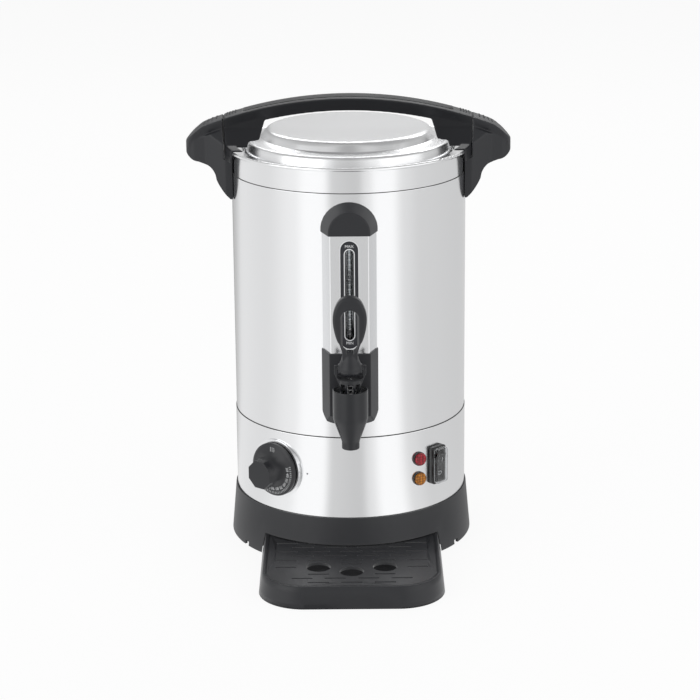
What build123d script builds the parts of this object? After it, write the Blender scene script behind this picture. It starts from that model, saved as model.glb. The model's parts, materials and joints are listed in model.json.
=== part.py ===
from build123d import *
import math
import os

# Hot water urn. Millimetres, +Z up. The origin is on the bench, on the urn's upright axis.
# The tap faces -Y, and +X is to the right of someone who faces the tap.
# An azimuth is measured from the front, positive towards +X.

# ---- general fits ---------------------------------------------------------------------
SKIN = 0.8              # sheet steel thickness
SNUG = 0.05             # radial clearance of a shaft, spigot or screw in its hole
LOOSE = 0.3             # clearance between curved faces that sit on each other
SLIP = 0.4              # clearance between a moving piece and what it passes

# ---- upright stack --------------------------------------------------------------------
BODY_R = 113.0          # outer shell, outside
BASE_LIFT = 1.0         # base skirt's lower edge above the bench
BASE_H = 48.5           # base skirt's top edge above the bench
BASE_LIP = 1.2          # thickness of the skirt's top lip
BASE_FLARE = 4.3        # how much wider the skirt is at the bench
BASE_WALL = 2.5
LEDGE_DROP = 2.5        # ledge that carries the housing, below the skirt's top edge
LEDGE_T = 2.5
DECK_Z = 26.0           # underside of the base's deck
DECK_T = 2.5
DECK_HOLE_R = 70.0
HOUSING_H = 80.9        # control band, from the skirt's edge to the seam
HOUSING_STEP = 0.5      # the band is this much larger in radius than the shell
FLANGE_IN = 8.0         # width of the shells' inward flanges
SHELL_H = 237.1         # seam to the tank's shoulder
BAND_H = 21.5           # shoulder to the rim bead's underside
BAND_INSET = 0.5        # the tank's top band is this much smaller than the shell

# ---- tank and heater ------------------------------------------------------------------
TANK_GAP = 2.2          # air gap between tank and outer shell
TANK_FLOOR_RISE = 20.6  # tank floor's top face above the seam
BEAD_R = 1.75           # rolled rim bead, section radius
BEAD_OUT = 5.0          # bead's outermost radius beyond the body
RIM_SLOPE = 3.2         # fall of the rim ring towards the well
WELL_INSET = 10.0       # wall of the well that the lid drops into, inside the shell
WELL_DEPTH = 13.5       # well floor below the rim's top
MOUTH_LEDGE = 6.5       # width of the ledge around the tank's opening
HEATER_R = 70.0
HEATER_T = 5.0
HEATER_BOSS_R = 9.0
HEATER_BOSS_H = 10.0
ELEMENT_RING_R = 48.0
ELEMENT_R = 4.0
ELEMENT_LEG = 22.0
BULB_R = 3.0
BULB_L = 60.0
BULB_Y = 22.0

# ---- base fittings --------------------------------------------------------------------
FOOT_R = 9.0
FOOT_H = 6.0
FOOT_STEM_R = 3.4
FOOT_STEM_H = 8.0
FOOT_BOSS_R = 7.0
FOOT_INSET = 10.0       # foot centres inside the shell
FRONT_FOOT_AZ = 60.0
REAR_FOOT_AZ = 137.0
VENT_W = 7.0
VENT_H = 4.0
VENT_AZIMUTHS = (-120.0, -60.0, 60.0, 120.0)
COVER_LAP = 8.0         # bottom cover's overlap around the deck's hole
COVER_T = 1.0
COVER_SCREW_IN = 4.0    # cover screws inside the cover's edge
COVER_SCREW_COUNT = 4
COVER_BOSS_R = 4.0
COVER_BOSS_H = 8.0
TIE_R = 3.0
TIE_NUT_AF = 10.0
TIE_NUT_H = 5.0
RESET_Y = 42.0
RESET_R = 3.1
RESET_FLANGE_R = 4.5
RESET_TRAVEL = 2.0
RESET_OUT = 2.4
CUTOUT_R = 10.0
CUTOUT_H = 18.0

# ---- drip tray ------------------------------------------------------------------------
TRAY_W = 174.6          # width at the tray's foot
TRAY_OUT = 110.0        # foot of the front face ahead of the shell
TRAY_DRAFT = 10.0       # lean of the tray's walls, in degrees
TRAY_BACK = 62.0
TRAY_CORNER_R = 44.0
TRAY_BACK_R = 12.0
TRAY_CLEAR = 0.5        # tray's underside above the bench
TRAY_H = 21.2           # top of the tray's rim above the bench
TRAY_FLOOR = 2.0
TRAY_RIM = 3.6
GRATE_T = 2.5
GRATE_DROP = 0.9        # grate's top face below the rim
GRATE_SEAT = 2.0
TRAY_WAY = 0.7          # clearance around the tray in the base's opening
STOP_T = 2.2            # tray stops: thickness, and their span to each side of the middle
STOP_NEAR = 52.0
STOP_FAR = 72.0
SLOT_L = 20.5
SLOT_W = 2.6
SLOT_PITCH = 31.0
CUP_HOLE_R = 11.4
CUP_HOLES = ((-31.3, 51.0), (0.0, 39.6), (31.3, 51.0))
# each row: distance behind the tray's front face, then places in slot pitches
SLOT_ROWS = (
    (13.4, (-1, 0, 1)),
    (23.5, (-1.5, -0.5, 0.5, 1.5)),
    (33.6, (-1, 1)),
    (51.0, (-2, 2)),
    (59.0, (0,)),
    (68.6, (-2, -1, 0, 1, 2)),
    (79.6, (-1.5, -0.5, 0.5, 1.5)),
    (90.6, (-2, -1, 0, 1, 2)),
    (101.6, (-1.5, -0.5, 0.5, 1.5)),
    (112.6, (-2, -1, 0, 1, 2)),
    (123.6, (-1.5, -0.5, 0.5, 1.5)),
    (134.6, (-2, -1, 0, 1, 2)),
)

# ---- controls on the housing ----------------------------------------------------------
CONTROL_RISE = 42.5     # control centres above the skirt's top edge
KNOB_AZ = -39.0
BEZEL_R = 29.0
BEZEL_OUT = 1.9         # bezel's front face ahead of the housing
DIAL_R = 26.3
DIAL_T = 3.8
DIAL_GAP = 0.8
GRIP_AF = 28.0
GRIP_L = 20.0
SHAFT_R = 3.0
BUSH_R = 5.0
STAT_W = 38.0
STAT_H = 34.0
STAT_D = 24.0
STAT_SCREW_PITCH = 28.0
STAT_SCREW_R = 1.9
LAMP_AZ = 35.2
LAMP_PITCH = 20.0
LAMP_FLANGE_R = 6.8
LAMP_FLANGE_T = 1.5
LAMP_BARREL_R = 4.9
LAMP_BARREL_L = 20.0
LENS_R = 6.3
LENS_H = 3.2
LENS_SPIGOT_R = 3.8
LENS_SPIGOT_L = 6.0
SWITCH_AZ = 46.3
SWITCH_W = 17.8
SWITCH_H = 37.3
SWITCH_OUT = 5.4        # frame's front face ahead of the housing
SWITCH_BODY_W = 13.8
SWITCH_BODY_H = 30.4
SWITCH_BODY_D = 22.0
ROCKER_W = 10.6
ROCKER_H = 25.2
ROCKER_TILT = 11.0      # rest tilt, half of the rocker's throw
ROCKER_PROUD = 0.5
ROCKER_PIVOT = 4.0      # pivot axis behind the frame's front face
ROCKER_PIN_R = 1.5
RAIN_W = 15.6
RAIN_H = 35.0
RAIN_OUT = 4.4
RAIN_T = 0.8
INLET_RISE = 33.0       # inlet centre above the skirt's top edge
INLET_W = 24.4
INLET_H = 16.4
INLET_D = 17.0
INLET_FLANGE_W = 50.0
INLET_FLANGE_H = 24.0
INLET_SCREW_PITCH = 40.0

# ---- gauge column and tap -------------------------------------------------------------
TAP_RISE = 30.0         # tap shank above the tank floor
COLUMN_BACK = 27.2      # half width of the black column at the shell
COLUMN_FRONT = 19.3     # half width of its front flat
COLUMN_OUT = 17.8       # front flat ahead of the shell
COLUMN_STEP = 1.3       # the steel cover is this much smaller all round
CAP_RISE = 150.5        # cap's underside above the shank
CAP_SKIRT = 2.7         # straight part of the cap below its round end
SHROUD_UP = 38.0        # shroud's top edge above the shank
SHROUD_DOWN = 35.0      # shroud's lower edge below the shank
SHROUD_CORNER_R = 16.0
MOULD_WALL = 1.5
WINDOW_W = 16.6
WINDOW_DROP = 4.7       # top of the window below the cap
WINDOW_RISE = 4.7       # bottom of the window above the shroud
SCALE_T = 0.8
SCALE_MARGIN = 2.2
SIGHT_W = 8.4
SIGHT_DROP = 8.3        # sight slot's ends inside the window's ends
TUBE_R = 3.5
TUBE_WALL = 1.0
TUBE_BACK = 7.6         # tube axis behind the column's front face
TUBE_TOP = 14.5         # tube's upper end above the cap's underside
SEAL_R = 4.6
SEAL_FLANGE_R = 5.6
ELBOW_R = 11.0
ELBOW_BOSS_R = 5.8
ELBOW_BOSS_H = 26.0
SHANK_R = 8.0
SHANK_BORE_R = 5.5
TAP_OUT = 44.0          # tap axis ahead of the shell
SHOULDER_R = 12.5
SHOULDER_T = 3.2
TAP_R = 16.4
CUP_UP = 12.0           # cup rim above the shank
CUP_WALL = 1.6
CUP_RECESS = 2.5        # depth of the cup above the bonnet's flange
CHAMBER_R = 13.0
SEAT_DOWN = 14.0        # valve seat below the shank
TAPER_DOWN = 16.0       # start of the taper below the shank
SPOUT_TOP_DOWN = 38.5
SPOUT_DOWN = 45.5       # spout's end below the shank
SPOUT_R = 8.3
SPOUT_BORE_R = 6.2
CUP_BLEND_R = 16.0      # blends above and below the taper
SPOUT_BLEND_R = 6.0
BONNET_THREAD_L = 10.0
BONNET_LOW_R = 9.2      # cage at the cup
BONNET_R = 10.9         # cage at the deck
BONNET_H = 10.5         # bonnet's deck above the cup rim
BONNET_TOP_T = 4.0
BONNET_BORE_R = 7.4
BONNET_WINDOWS = 8
BONNET_WINDOW_W = 5.0
PIVOT_UP = 9.0          # lever pin above the bonnet's deck
BULB_HALF = 11.4        # half width of the lever's bulb at the pin
HUB_R = 5.0
EAR_T = 3.0
EAR_R = 3.8
PIN_R = 2.0
LEVER_TILT = 35.0
LEVER_LEAN = 5.0
LEVER_T = 10.0
LEVER_EDGE_R = 2.6
LEVER_TOP = 71.5        # lever's top above the pin
LOOP_HALF = 15.7
LOOP_RISE = 49.5        # height of the loop's widest place above the pin
NECK_HALF = 7.1
NECK_RISE = 16.0
HOLE_W = 13.2           # loop's hole at the middle of its thickness
HOLE_LOW = 18.6
HOLE_HIGH = 57.5
HOLE_FLARE = 22.0       # the hole widens towards both faces
HOLE_FOOT = 14.5        # narrow foot of the hole
HOLE_FOOT_W = 7.0
BULB_TOP_R = 4.4
STEM_R = 2.5
STEM_LIFT = 4.0
STEM_DROP = 0.6         # top of the stem below the deck, at rest
STEM_COLLAR_R = 6.0
STEM_COLLAR_T = 1.8
CUP_SEAL_R = 9.0
CUP_SEAL_T = 5.4
SPRING_R = 5.8          # mean radius of the coil
SPRING_WIRE_R = 0.6
SPRING_TURNS = 6
NUT_AF = 24.0
NUT_T = 6.0
WASHER_R = 13.0
COLUMN_SCREW_R = 1.5
COLUMN_SCREW_HEAD_R = 3.0
COLUMN_SCREW_HEAD_T = 1.3
COLUMN_SCREW_L = 9.0
COLUMN_BOSS_R = 3.4

# ---- lid ------------------------------------------------------------------------------
GASKET_T = 3.5
GASKET_W = 4.5
LID_WAY = 0.7           # clearance of the lid's flange in the well
LID_TAPER = 3.5         # lid's wall leans in by this much
LID_WALL_H = 14.7       # lid seat to shoulder
LID_STEP_W = 14.0       # flat step around the raised middle
LID_RAMP_W = 10.0       # width of the raised middle's side
LID_DOME_H = 10.4       # height of the raised middle above its step
ARCH_TOP = 47.2         # arch's crown above the rim's top
ARCH_R = 388.0          # radius of the arch, seen from the front
BAR_HALF = 15.0
BAR_CROWN = 2.2
BAR_FACE = 11.5
BAR_UNDERCUT = 4.0
BAR_T = 14.2
WEB_HALF = 11.5
WEB_OVER_DOME = 1.0     # how far the webs reach in over the raised middle
WEB_FOOT_BACK = 1.5     # their inner ends stand this far outside its foot
WEB_KNEE = 17.5         # height above the rim where the webs start to widen
WEB_SLOPE = 1.32        # fall of a web's side for each millimetre that it widens
WEB_LOW_HALF = 27.5
FOOT_HALF = 45.0        # half length of the curved feet along the rim
FOOT_LIP = 2.4          # foot above the rim bead
LID_END_OUT = 6.6       # end faces of the lid handle ahead of the shell
LATCH_H = 6.0
LATCH_OUT = 1.0
FOOT_DROP = 10.3        # how far the lid handle's feet hang below the rim's top
INLAY_HALF = 8.5
INLAY_DEPTH = 1.8
INLAY_ANGLE = 15.0
LID_SCREW_IN = 6.5      # lid screws inside the lid's shoulder
LID_SCREW_R = 2.0
LID_SCREW_HEAD_R = 3.6

# ---- side handles ---------------------------------------------------------------------
GRIP_OUT = 43.0         # outermost face of the side handles ahead of the shell
GRIP_NOSE = 0.1         # share of that reach where the bar's top starts to fall
GRIP_SHOULDER = (0.77, 14.4)    # share of that reach, and height above the rim
GRIP_END = (4.5, 7.0)   # flat end face: its top above the rim, and its foot below it
# underside of a side handle: share of the reach, and drop below the rim
GRIP_UNDERSIDE = ((0.955, 10.0), (0.71, 15.4), (0.49, 18.9), (0.385, 23.5),
                  (0.325, 31.5), (0.20, 41.0))
BRACKET_DROP = 25.4     # bracket's lower end below the tank's shoulder
BRACKET_HALF = 22.5     # half width of the brackets at the body
LEFT_GAP = 1.5          # gap between lid handle and left side handle
RIGHT_GAP = 0.4
SHELF_GAP = 0.7         # gap under the lid handle's feet
POCKET_DEPTH = 4.4
HANDLE_SCREW_R = 2.0
HANDLE_HEAD_R = 4.0
HANDLE_HEAD_T = 2.0
HANDLE_SCREW_DROPS = (19.0, -6.5)   # screw heights below the tank's shoulder
HANDLE_SCREW_L = 9.0

# ---- heights and radii that follow ----------------------------------------------------
seam_z = BASE_H + HOUSING_H
shoulder_z = seam_z + SHELL_H
bead_z = shoulder_z + BAND_H
rim_z = bead_z + 2 * BEAD_R
housing_r = BODY_R + HOUSING_STEP
base_top_r = housing_r + LOOSE + BASE_LIP
ledge_z = BASE_H - LEDGE_DROP
floor_z = seam_z + TANK_FLOOR_RISE
tank_r = BODY_R - SKIN - TANK_GAP
band_r = BODY_R - BAND_INSET
bead_out_r = BODY_R + BEAD_OUT
bead_mid_r = bead_out_r - BEAD_R
well_z = rim_z - WELL_DEPTH
seat_z = well_z + SKIN + GASKET_T
heater_z = floor_z - SKIN - HEATER_T
cover_z = DECK_Z - COVER_T
control_z = BASE_H + CONTROL_RISE
inlet_z = BASE_H + INLET_RISE
shank_z = floor_z + TAP_RISE
cap_z = shank_z + CAP_RISE
shroud_top_z = shank_z + SHROUD_UP
shroud_low_z = shank_z - SHROUD_DOWN
column_y = -(BODY_R + COLUMN_OUT)
cover_y = column_y + COLUMN_STEP
tube_y = column_y + TUBE_BACK
tap_y = -(BODY_R + TAP_OUT)
cup_z = shank_z + CUP_UP
cup_floor_z = cup_z - CUP_RECESS
seat_face_z = shank_z - SEAT_DOWN
deck_z = cup_z + BONNET_H
stem_top_z = deck_z - STEM_DROP
pivot_z = deck_z + PIVOT_UP
arch_z = rim_z + ARCH_TOP
arch_centre_z = arch_z - ARCH_R
foot_z = rim_z - FOOT_DROP
cover_r = DECK_HOLE_R + COVER_LAP
cover_screw_r = cover_r - COVER_SCREW_IN
foot_pitch_r = BODY_R - FOOT_INSET
tray_front = BODY_R + TRAY_OUT
tray_lean = (TRAY_H - TRAY_CLEAR) * math.tan(math.radians(TRAY_DRAFT))
tray_rim_front = tray_front - tray_lean
well_r = BODY_R - WELL_INSET
mouth_r = well_r - MOUTH_LEDGE
lid_foot_r = well_r - SKIN - LID_WAY
lid_shoulder_r = lid_foot_r - LID_TAPER
lid_dome_r = lid_shoulder_r - LID_STEP_W
lid_top_r = lid_dome_r - LID_RAMP_W
lid_screw_x = lid_shoulder_r - LID_SCREW_IN
lid_end_r = BODY_R + LID_END_OUT
web_start = lid_top_r - WEB_OVER_DOME
grip_reach = BODY_R + GRIP_OUT


# ---- helpers --------------------------------------------------------------------------
def disc(radius, low, high, x=0.0, y=0.0):
    """Upright cylinder between two heights."""
    align = (Align.CENTER, Align.CENTER, Align.MIN)
    return Pos(x, y, low) * Cylinder(radius, high - low, align=align)


def pipe(inner, outer, low, high, x=0.0, y=0.0):
    """Upright tube between two heights."""
    return disc(outer, low, high, x, y) - disc(inner, low - 1, high + 1, x, y)


def block(x_span, y_span, z_span):
    """Box between two corners, each axis given as (low, high)."""
    low = [min(span) for span in (x_span, y_span, z_span)]
    size = [abs(span[1] - span[0]) for span in (x_span, y_span, z_span)]
    align = (Align.MIN, Align.MIN, Align.MIN)
    return Pos(*low) * Box(*size, align=align)


def turned(*points):
    """Solid of revolution about the urn's axis from an outline of (radius, height)."""
    outline = make_face(Polyline(*points, close=True))
    return revolve(Plane.XZ * outline, Axis.Z)


def front_rod(radius, y_front, y_back, z, x=0.0):
    """Cylinder along Y between two places ahead of the axis."""
    align = (Align.CENTER, Align.CENTER, Align.MIN)
    rod = Cylinder(radius, y_back - y_front, align=align)
    return Pos(x, y_front, z) * Rot(-90, 0, 0) * rod


def facing(azimuth, distance, height):
    """Plane that looks outwards at an azimuth, with its local X to the right and Y up."""
    angle = math.radians(azimuth)
    outward = (math.sin(angle), -math.cos(angle), 0)
    right = (math.cos(angle), math.sin(angle), 0)
    origin = (outward[0] * distance, outward[1] * distance, height)
    return Plane(origin=origin, x_dir=right, z_dir=outward)


def outward_rod(radius, near, far, azimuth, height, x=0.0, y=0.0):
    """Cylinder along an azimuth, between two distances from the urn's axis."""
    align = (Align.CENTER, Align.CENTER, Align.MIN)
    rod = Pos(x, y, 0) * Cylinder(radius, far - near, align=align)
    return facing(azimuth, near, height) * rod


def outward_box(width, height, near, far, azimuth, z, y=0.0):
    """Box along an azimuth, between two distances from the urn's axis."""
    align = (Align.CENTER, Align.CENTER, Align.MIN)
    return facing(azimuth, near, z) * (Pos(0, y, 0) * Box(width, height, far - near, align=align))


def hexagon(across_flats, thickness):
    """Nut blank, centred on its axis, rising from its lower face."""
    return extrude(RegularPolygon(across_flats / 2, 6, major_radius=False), thickness)


def front_view(face, half):
    """Solid from an outline in X and Z, as deep as half on both sides of the axis."""
    return extrude(Plane.XZ * face, amount=half, both=True)


def mirrored(shape):
    """Copy on the other side of the YZ plane."""
    return mirror(shape, Plane.YZ)


def body_core(radius):
    """Cylinder that trims fittings to the round body."""
    return disc(radius, 0, arch_z)


# ---- base -----------------------------------------------------------------------------
def tray_outline(inset=0.0, back_extra=0.0):
    """Tray's plan shape, drawn in by inset, with its back moved by back_extra."""
    half = TRAY_W / 2 - inset
    front = -tray_front + inset
    back = -TRAY_BACK - inset + back_extra
    length = back - front
    plan = Pos(0, (front + back) / 2) * Rectangle(2 * half, length)
    front_corners = plan.vertices().group_by(Axis.Y)[0]
    plan = fillet(front_corners, TRAY_CORNER_R - inset)
    back_corners = plan.vertices().group_by(Axis.Y)[-1]
    return fillet(back_corners, max(TRAY_BACK_R - inset, 1.0))


def foot_places():
    places = []
    for azimuth in (-REAR_FOOT_AZ, -FRONT_FOOT_AZ, FRONT_FOOT_AZ, REAR_FOOT_AZ):
        angle = math.radians(azimuth)
        places.append((foot_pitch_r * math.sin(angle), -foot_pitch_r * math.cos(angle)))
    return places


def cover_screw_places():
    return [(place.position.X, place.position.Y)
            for place in PolarLocations(cover_screw_r, COVER_SCREW_COUNT, 45)]


def base_skirt():
    slope = BASE_FLARE / (BASE_H - BASE_LIFT)

    def outer_at(z):
        return base_top_r + (BASE_H - z) * slope

    ledge_low = ledge_z - LEDGE_T
    ledge_in = housing_r - FLANGE_IN
    deck_top = DECK_Z + DECK_T
    skirt = turned(
        (outer_at(BASE_LIFT), BASE_LIFT), (base_top_r, BASE_H), (base_top_r - BASE_LIP, BASE_H),
        (base_top_r - BASE_LIP, ledge_z), (ledge_in, ledge_z), (ledge_in, ledge_low),
        (outer_at(ledge_low) - BASE_WALL, ledge_low), (outer_at(deck_top) - BASE_WALL, deck_top),
        (DECK_HOLE_R, deck_top), (DECK_HOLE_R, DECK_Z),
        (outer_at(DECK_Z) - BASE_WALL, DECK_Z), (outer_at(BASE_LIFT) - BASE_WALL, BASE_LIFT))
    for x, y in foot_places():
        skirt += disc(FOOT_BOSS_R, FOOT_H, DECK_Z + 1, x, y)
        skirt -= disc(FOOT_STEM_R + SNUG, 0, FOOT_H + FOOT_STEM_H + 1, x, y)
    for x, y in cover_screw_places():
        skirt += disc(COVER_BOSS_R, DECK_Z, deck_top + COVER_BOSS_H, x, y)
        skirt -= disc(1.75 + SNUG, 0, deck_top + COVER_BOSS_H - 1.5, x, y)
    stop_y = -TRAY_BACK + LOOSE
    for side in (-1, 1):
        skirt += block((side * STOP_NEAR, side * STOP_FAR), (stop_y, stop_y + STOP_T),
                       (DECK_Z - 16, DECK_Z + 1))
    way_half = TRAY_W / 2 + TRAY_WAY
    way_top = TRAY_H + TRAY_WAY
    way_top_half = way_half - tray_lean
    arch = make_face(Polyline((-way_half, -5), (-way_half, TRAY_CLEAR), (-way_top_half, way_top),
                              (way_top_half, way_top), (way_half, TRAY_CLEAR), (way_half, -5),
                              close=True))
    arch = fillet(arch.vertices().group_by(Axis.Y)[-1], 2 * TRAY_WAY)
    skirt -= Pos(0, -TRAY_BACK - 2, 0) * extrude(Plane.XZ * arch, amount=tray_front)
    for azimuth in VENT_AZIMUTHS:
        skirt -= outward_box(VENT_W, 2 * VENT_H, BODY_R - 4, BODY_R + 12, azimuth, BASE_LIFT)
    return skirt


def rubber_feet():
    feet = [disc(FOOT_R, 0, FOOT_H, x, y)
            + disc(FOOT_STEM_R, FOOT_H, FOOT_H + FOOT_STEM_H, x, y) for x, y in foot_places()]
    return Compound(feet)


def bottom_cover():
    cover = disc(cover_r, cover_z, DECK_Z)
    cover -= disc(TIE_R + SNUG, 0, DECK_Z + 1)
    cover -= disc(RESET_R + SNUG, 0, DECK_Z + 1, 0, RESET_Y)
    for x, y in cover_screw_places():
        cover -= disc(1.75 + 2 * SNUG, 0, DECK_Z + 1, x, y)
    return cover


def cover_screws():
    screws = []
    for x, y in cover_screw_places():
        head = disc(3.2, cover_z - 1.8, cover_z, x, y)
        head = fillet(head.edges().group_by(Axis.Z)[0], 0.9)
        screws.append(head + disc(1.75, cover_z, DECK_Z + DECK_T + 6, x, y))
    return Compound(screws)


def tie_rod():
    rod = disc(TIE_R, cover_z - TIE_NUT_H - 4, heater_z - 2)
    return chamfer(rod.edges().group_by(Axis.Z)[0], 0.6)


def tie_nut():
    nut = Pos(0, 0, cover_z - 1 - TIE_NUT_H) * hexagon(TIE_NUT_AF, TIE_NUT_H)
    return nut + disc(8, cover_z - 1, cover_z) - disc(TIE_R + SNUG, 0, cover_z + 1)


def cutout_body():
    top = DECK_Z + CUTOUT_H
    body = disc(CUTOUT_R, DECK_Z, top, 0, RESET_Y)
    body -= disc(RESET_R + SNUG, DECK_Z - 1, top - 3, 0, RESET_Y)
    body -= disc(RESET_FLANGE_R + 2 * SNUG, DECK_Z + 1, DECK_Z + 6, 0, RESET_Y)
    for side in (-1, 1):
        body += block((side * 4, side * 7), (RESET_Y - 0.5, RESET_Y + 0.5), (top, top + 7))
    return body


def reset_button():
    low = cover_z - RESET_OUT
    button = disc(RESET_R, low, DECK_Z + CUTOUT_H - 3 - RESET_TRAVEL - SLIP, 0, RESET_Y)
    button = fillet(button.edges().group_by(Axis.Z)[0], 0.8)
    return button + disc(RESET_FLANGE_R, DECK_Z + 1.2, DECK_Z + 3.0, 0, RESET_Y)


# ---- drip tray ------------------------------------------------------------------------
def drip_tray():
    outside = tray_outline()
    tray = Pos(0, 0, TRAY_CLEAR) * extrude(outside, TRAY_H - TRAY_CLEAR, taper=TRAY_DRAFT)
    grate_low = TRAY_H - GRATE_DROP - GRATE_T
    well = Pos(0, 0, TRAY_CLEAR + TRAY_FLOOR) * extrude(
        tray_outline(tray_lean + TRAY_RIM + GRATE_SEAT), TRAY_H)
    seat = Pos(0, 0, grate_low) * extrude(tray_outline(tray_lean + TRAY_RIM), TRAY_H)
    tray = chamfer(tray.edges().group_by(Axis.Z)[-1], 0.6)
    return tray - well - seat


def drip_grate():
    low = TRAY_H - GRATE_DROP - GRATE_T
    grate = Pos(0, 0, low) * extrude(tray_outline(tray_lean + TRAY_RIM + SLIP), GRATE_T)
    for x, behind in CUP_HOLES:
        grate -= disc(CUP_HOLE_R, 0, TRAY_H + 1, x, behind - tray_rim_front)
    slots = Sketch()
    for behind, places in SLOT_ROWS:
        for place in places:
            slots += Pos(place * SLOT_PITCH, behind - tray_rim_front) * SlotOverall(SLOT_L, SLOT_W)
    return grate - Pos(0, 0, low - 1) * extrude(slots, GRATE_T + 2)


# ---- shells and tank ------------------------------------------------------------------
def lower_housing():
    inner = housing_r - SKIN
    flange_in = housing_r - FLANGE_IN
    housing = turned((housing_r, ledge_z), (housing_r, seam_z), (flange_in, seam_z),
                     (flange_in, seam_z - SKIN), (inner, seam_z - SKIN), (inner, ledge_z))
    rim = housing.edges().filter_by(GeomType.CIRCLE).group_by(Axis.Z)[-1].sort_by(SortBy.RADIUS)[-1]
    housing = fillet(rim, 0.7)
    far = housing_r + 5
    near = housing_r - 15
    housing -= outward_rod(BUSH_R + LOOSE, near, far, KNOB_AZ, control_z)
    for side in (-1, 1):
        hole = side * STAT_SCREW_PITCH / 2
        housing -= outward_rod(STAT_SCREW_R + 2 * SNUG, near, far, KNOB_AZ, control_z, y=hole)
        lamp_z = control_z + side * LAMP_PITCH / 2
        housing -= outward_rod(LAMP_BARREL_R + SNUG, near, far, LAMP_AZ, lamp_z)
    housing -= outward_box(SWITCH_BODY_W + LOOSE, SWITCH_BODY_H + LOOSE, near, far,
                           SWITCH_AZ, control_z)
    housing -= outward_box(INLET_W + 4 + LOOSE, INLET_H + 4 + LOOSE, near, far, 180, inlet_z)
    for side in (-1, 1):
        hole = side * INLET_SCREW_PITCH / 2
        housing -= outward_rod(1.5 + 2 * SNUG, near - 10, far, 180, inlet_z, x=hole)
    return housing


def handle_screw_heights():
    return [shoulder_z - drop for drop in HANDLE_SCREW_DROPS]


def column_screw_places():
    """Azimuth and height of each screw that holds the cap and the shroud."""
    return ((-7.5, cap_z + 9.5), (7.5, cap_z + 9.5), (-8.0, shroud_top_z - 11.0),
            (8.0, shroud_top_z - 11.0), (0.0, shroud_low_z + 10.0))


def outer_shell():
    inner = BODY_R - SKIN
    flange_in = BODY_R - FLANGE_IN
    lip_in = tank_r + LOOSE
    shell = turned((flange_in, seam_z), (BODY_R, seam_z), (BODY_R, shoulder_z),
                   (lip_in, shoulder_z), (lip_in, shoulder_z - SKIN), (inner, shoulder_z - SKIN),
                   (inner, seam_z + SKIN), (flange_in, seam_z + SKIN))
    rims = shell.edges().filter_by(GeomType.CIRCLE).filter_by(
        lambda edge: abs(edge.radius - BODY_R) < 0.01)
    shell = fillet(rims, 0.6)
    shell -= front_rod(ELBOW_R + SLIP, -BODY_R - 5, -BODY_R + 15, shank_z)
    for azimuth, z in column_screw_places():
        shell -= outward_rod(COLUMN_SCREW_R + 2 * SNUG, BODY_R - 15, BODY_R + 5, azimuth, z)
    for azimuth in (-90, 90):
        for z in handle_screw_heights():
            shell -= outward_rod(HANDLE_SCREW_R + 0.2, BODY_R - 15, BODY_R + 5, azimuth, z)
    return shell


def inner_tank():
    wall_in = tank_r - SKIN
    tank = turned((0, floor_z - SKIN), (tank_r, floor_z - SKIN), (tank_r, shoulder_z),
                  (band_r, shoulder_z), (band_r, rim_z - 2.1), (band_r - SKIN, rim_z - 2.1),
                  (band_r - SKIN, shoulder_z + SKIN), (wall_in, shoulder_z + SKIN),
                  (wall_in, floor_z), (0, floor_z))
    corner = tank.edges().filter_by(GeomType.CIRCLE).group_by(Axis.Z)[0]
    tank = fillet(corner, 0.7)
    tank -= front_rod(SHANK_R + SNUG, -BODY_R - 5, -BODY_R + 15, shank_z)
    for azimuth in (-90, 90):
        for z in handle_screw_heights():
            tank -= outward_rod(HANDLE_SCREW_R + 0.2, BODY_R - 15, BODY_R + 5, azimuth, z)
    return tank


def rim_ring():
    slope_z = rim_z - RIM_SLOPE
    ring = turned((bead_mid_r, rim_z - 0.15), (well_r, slope_z), (well_r - SKIN, slope_z - 1),
                  (well_r - SKIN, well_z + SKIN), (mouth_r, well_z + SKIN), (mouth_r, well_z),
                  (well_r, well_z), (well_r, slope_z - 1), (bead_mid_r, rim_z - SKIN - 0.15))
    return ring + Pos(0, 0, rim_z - BEAD_R) * Torus(bead_mid_r, BEAD_R)


def heater_plate():
    plate = disc(HEATER_R, heater_z, floor_z - SKIN)
    plate = chamfer(plate.edges().group_by(Axis.Z)[0], 1)
    plate += disc(HEATER_BOSS_R, heater_z - HEATER_BOSS_H, heater_z)
    return plate - disc(TIE_R + SNUG, 0, heater_z - 1.5)


def heating_element():
    ring = Torus(ELEMENT_RING_R, ELEMENT_R, major_angle=320)
    top = heater_z - SNUG
    ring = Pos(0, 0, top - ELEMENT_R) * Rot(0, 0, -70) * ring
    for end in (-70, 250):
        angle = math.radians(end)
        x = ELEMENT_RING_R * math.cos(angle)
        y = ELEMENT_RING_R * math.sin(angle)
        ring += disc(ELEMENT_R, top - ELEMENT_R - ELEMENT_LEG, top - ELEMENT_R, x, y)
        ring += disc(1.6, top - ELEMENT_R - ELEMENT_LEG - 9, top - ELEMENT_R - ELEMENT_LEG, x, y)
    return ring


def capillary_bulb():
    z = heater_z - BULB_R - SNUG
    bulb = Pos(0, BULB_Y, z) * Rot(0, 90, 0) * Cylinder(BULB_R, BULB_L)
    return fillet(bulb.edges(), 1.5)


# ---- controls -------------------------------------------------------------------------
def knob_bezel():
    face_r = housing_r + BEZEL_OUT
    ring = outward_rod(BEZEL_R, housing_r - 8, face_r, KNOB_AZ, control_z)
    ring = ring - outward_rod(BUSH_R + LOOSE, housing_r - 9, face_r + 1, KNOB_AZ, control_z)
    for side in (-1, 1):
        hole = side * STAT_SCREW_PITCH / 2
        ring -= outward_rod(STAT_SCREW_R + SNUG, housing_r - 9, face_r + 1, KNOB_AZ,
                            control_z, y=hole)
    return ring - body_core(housing_r + LOOSE)


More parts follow.
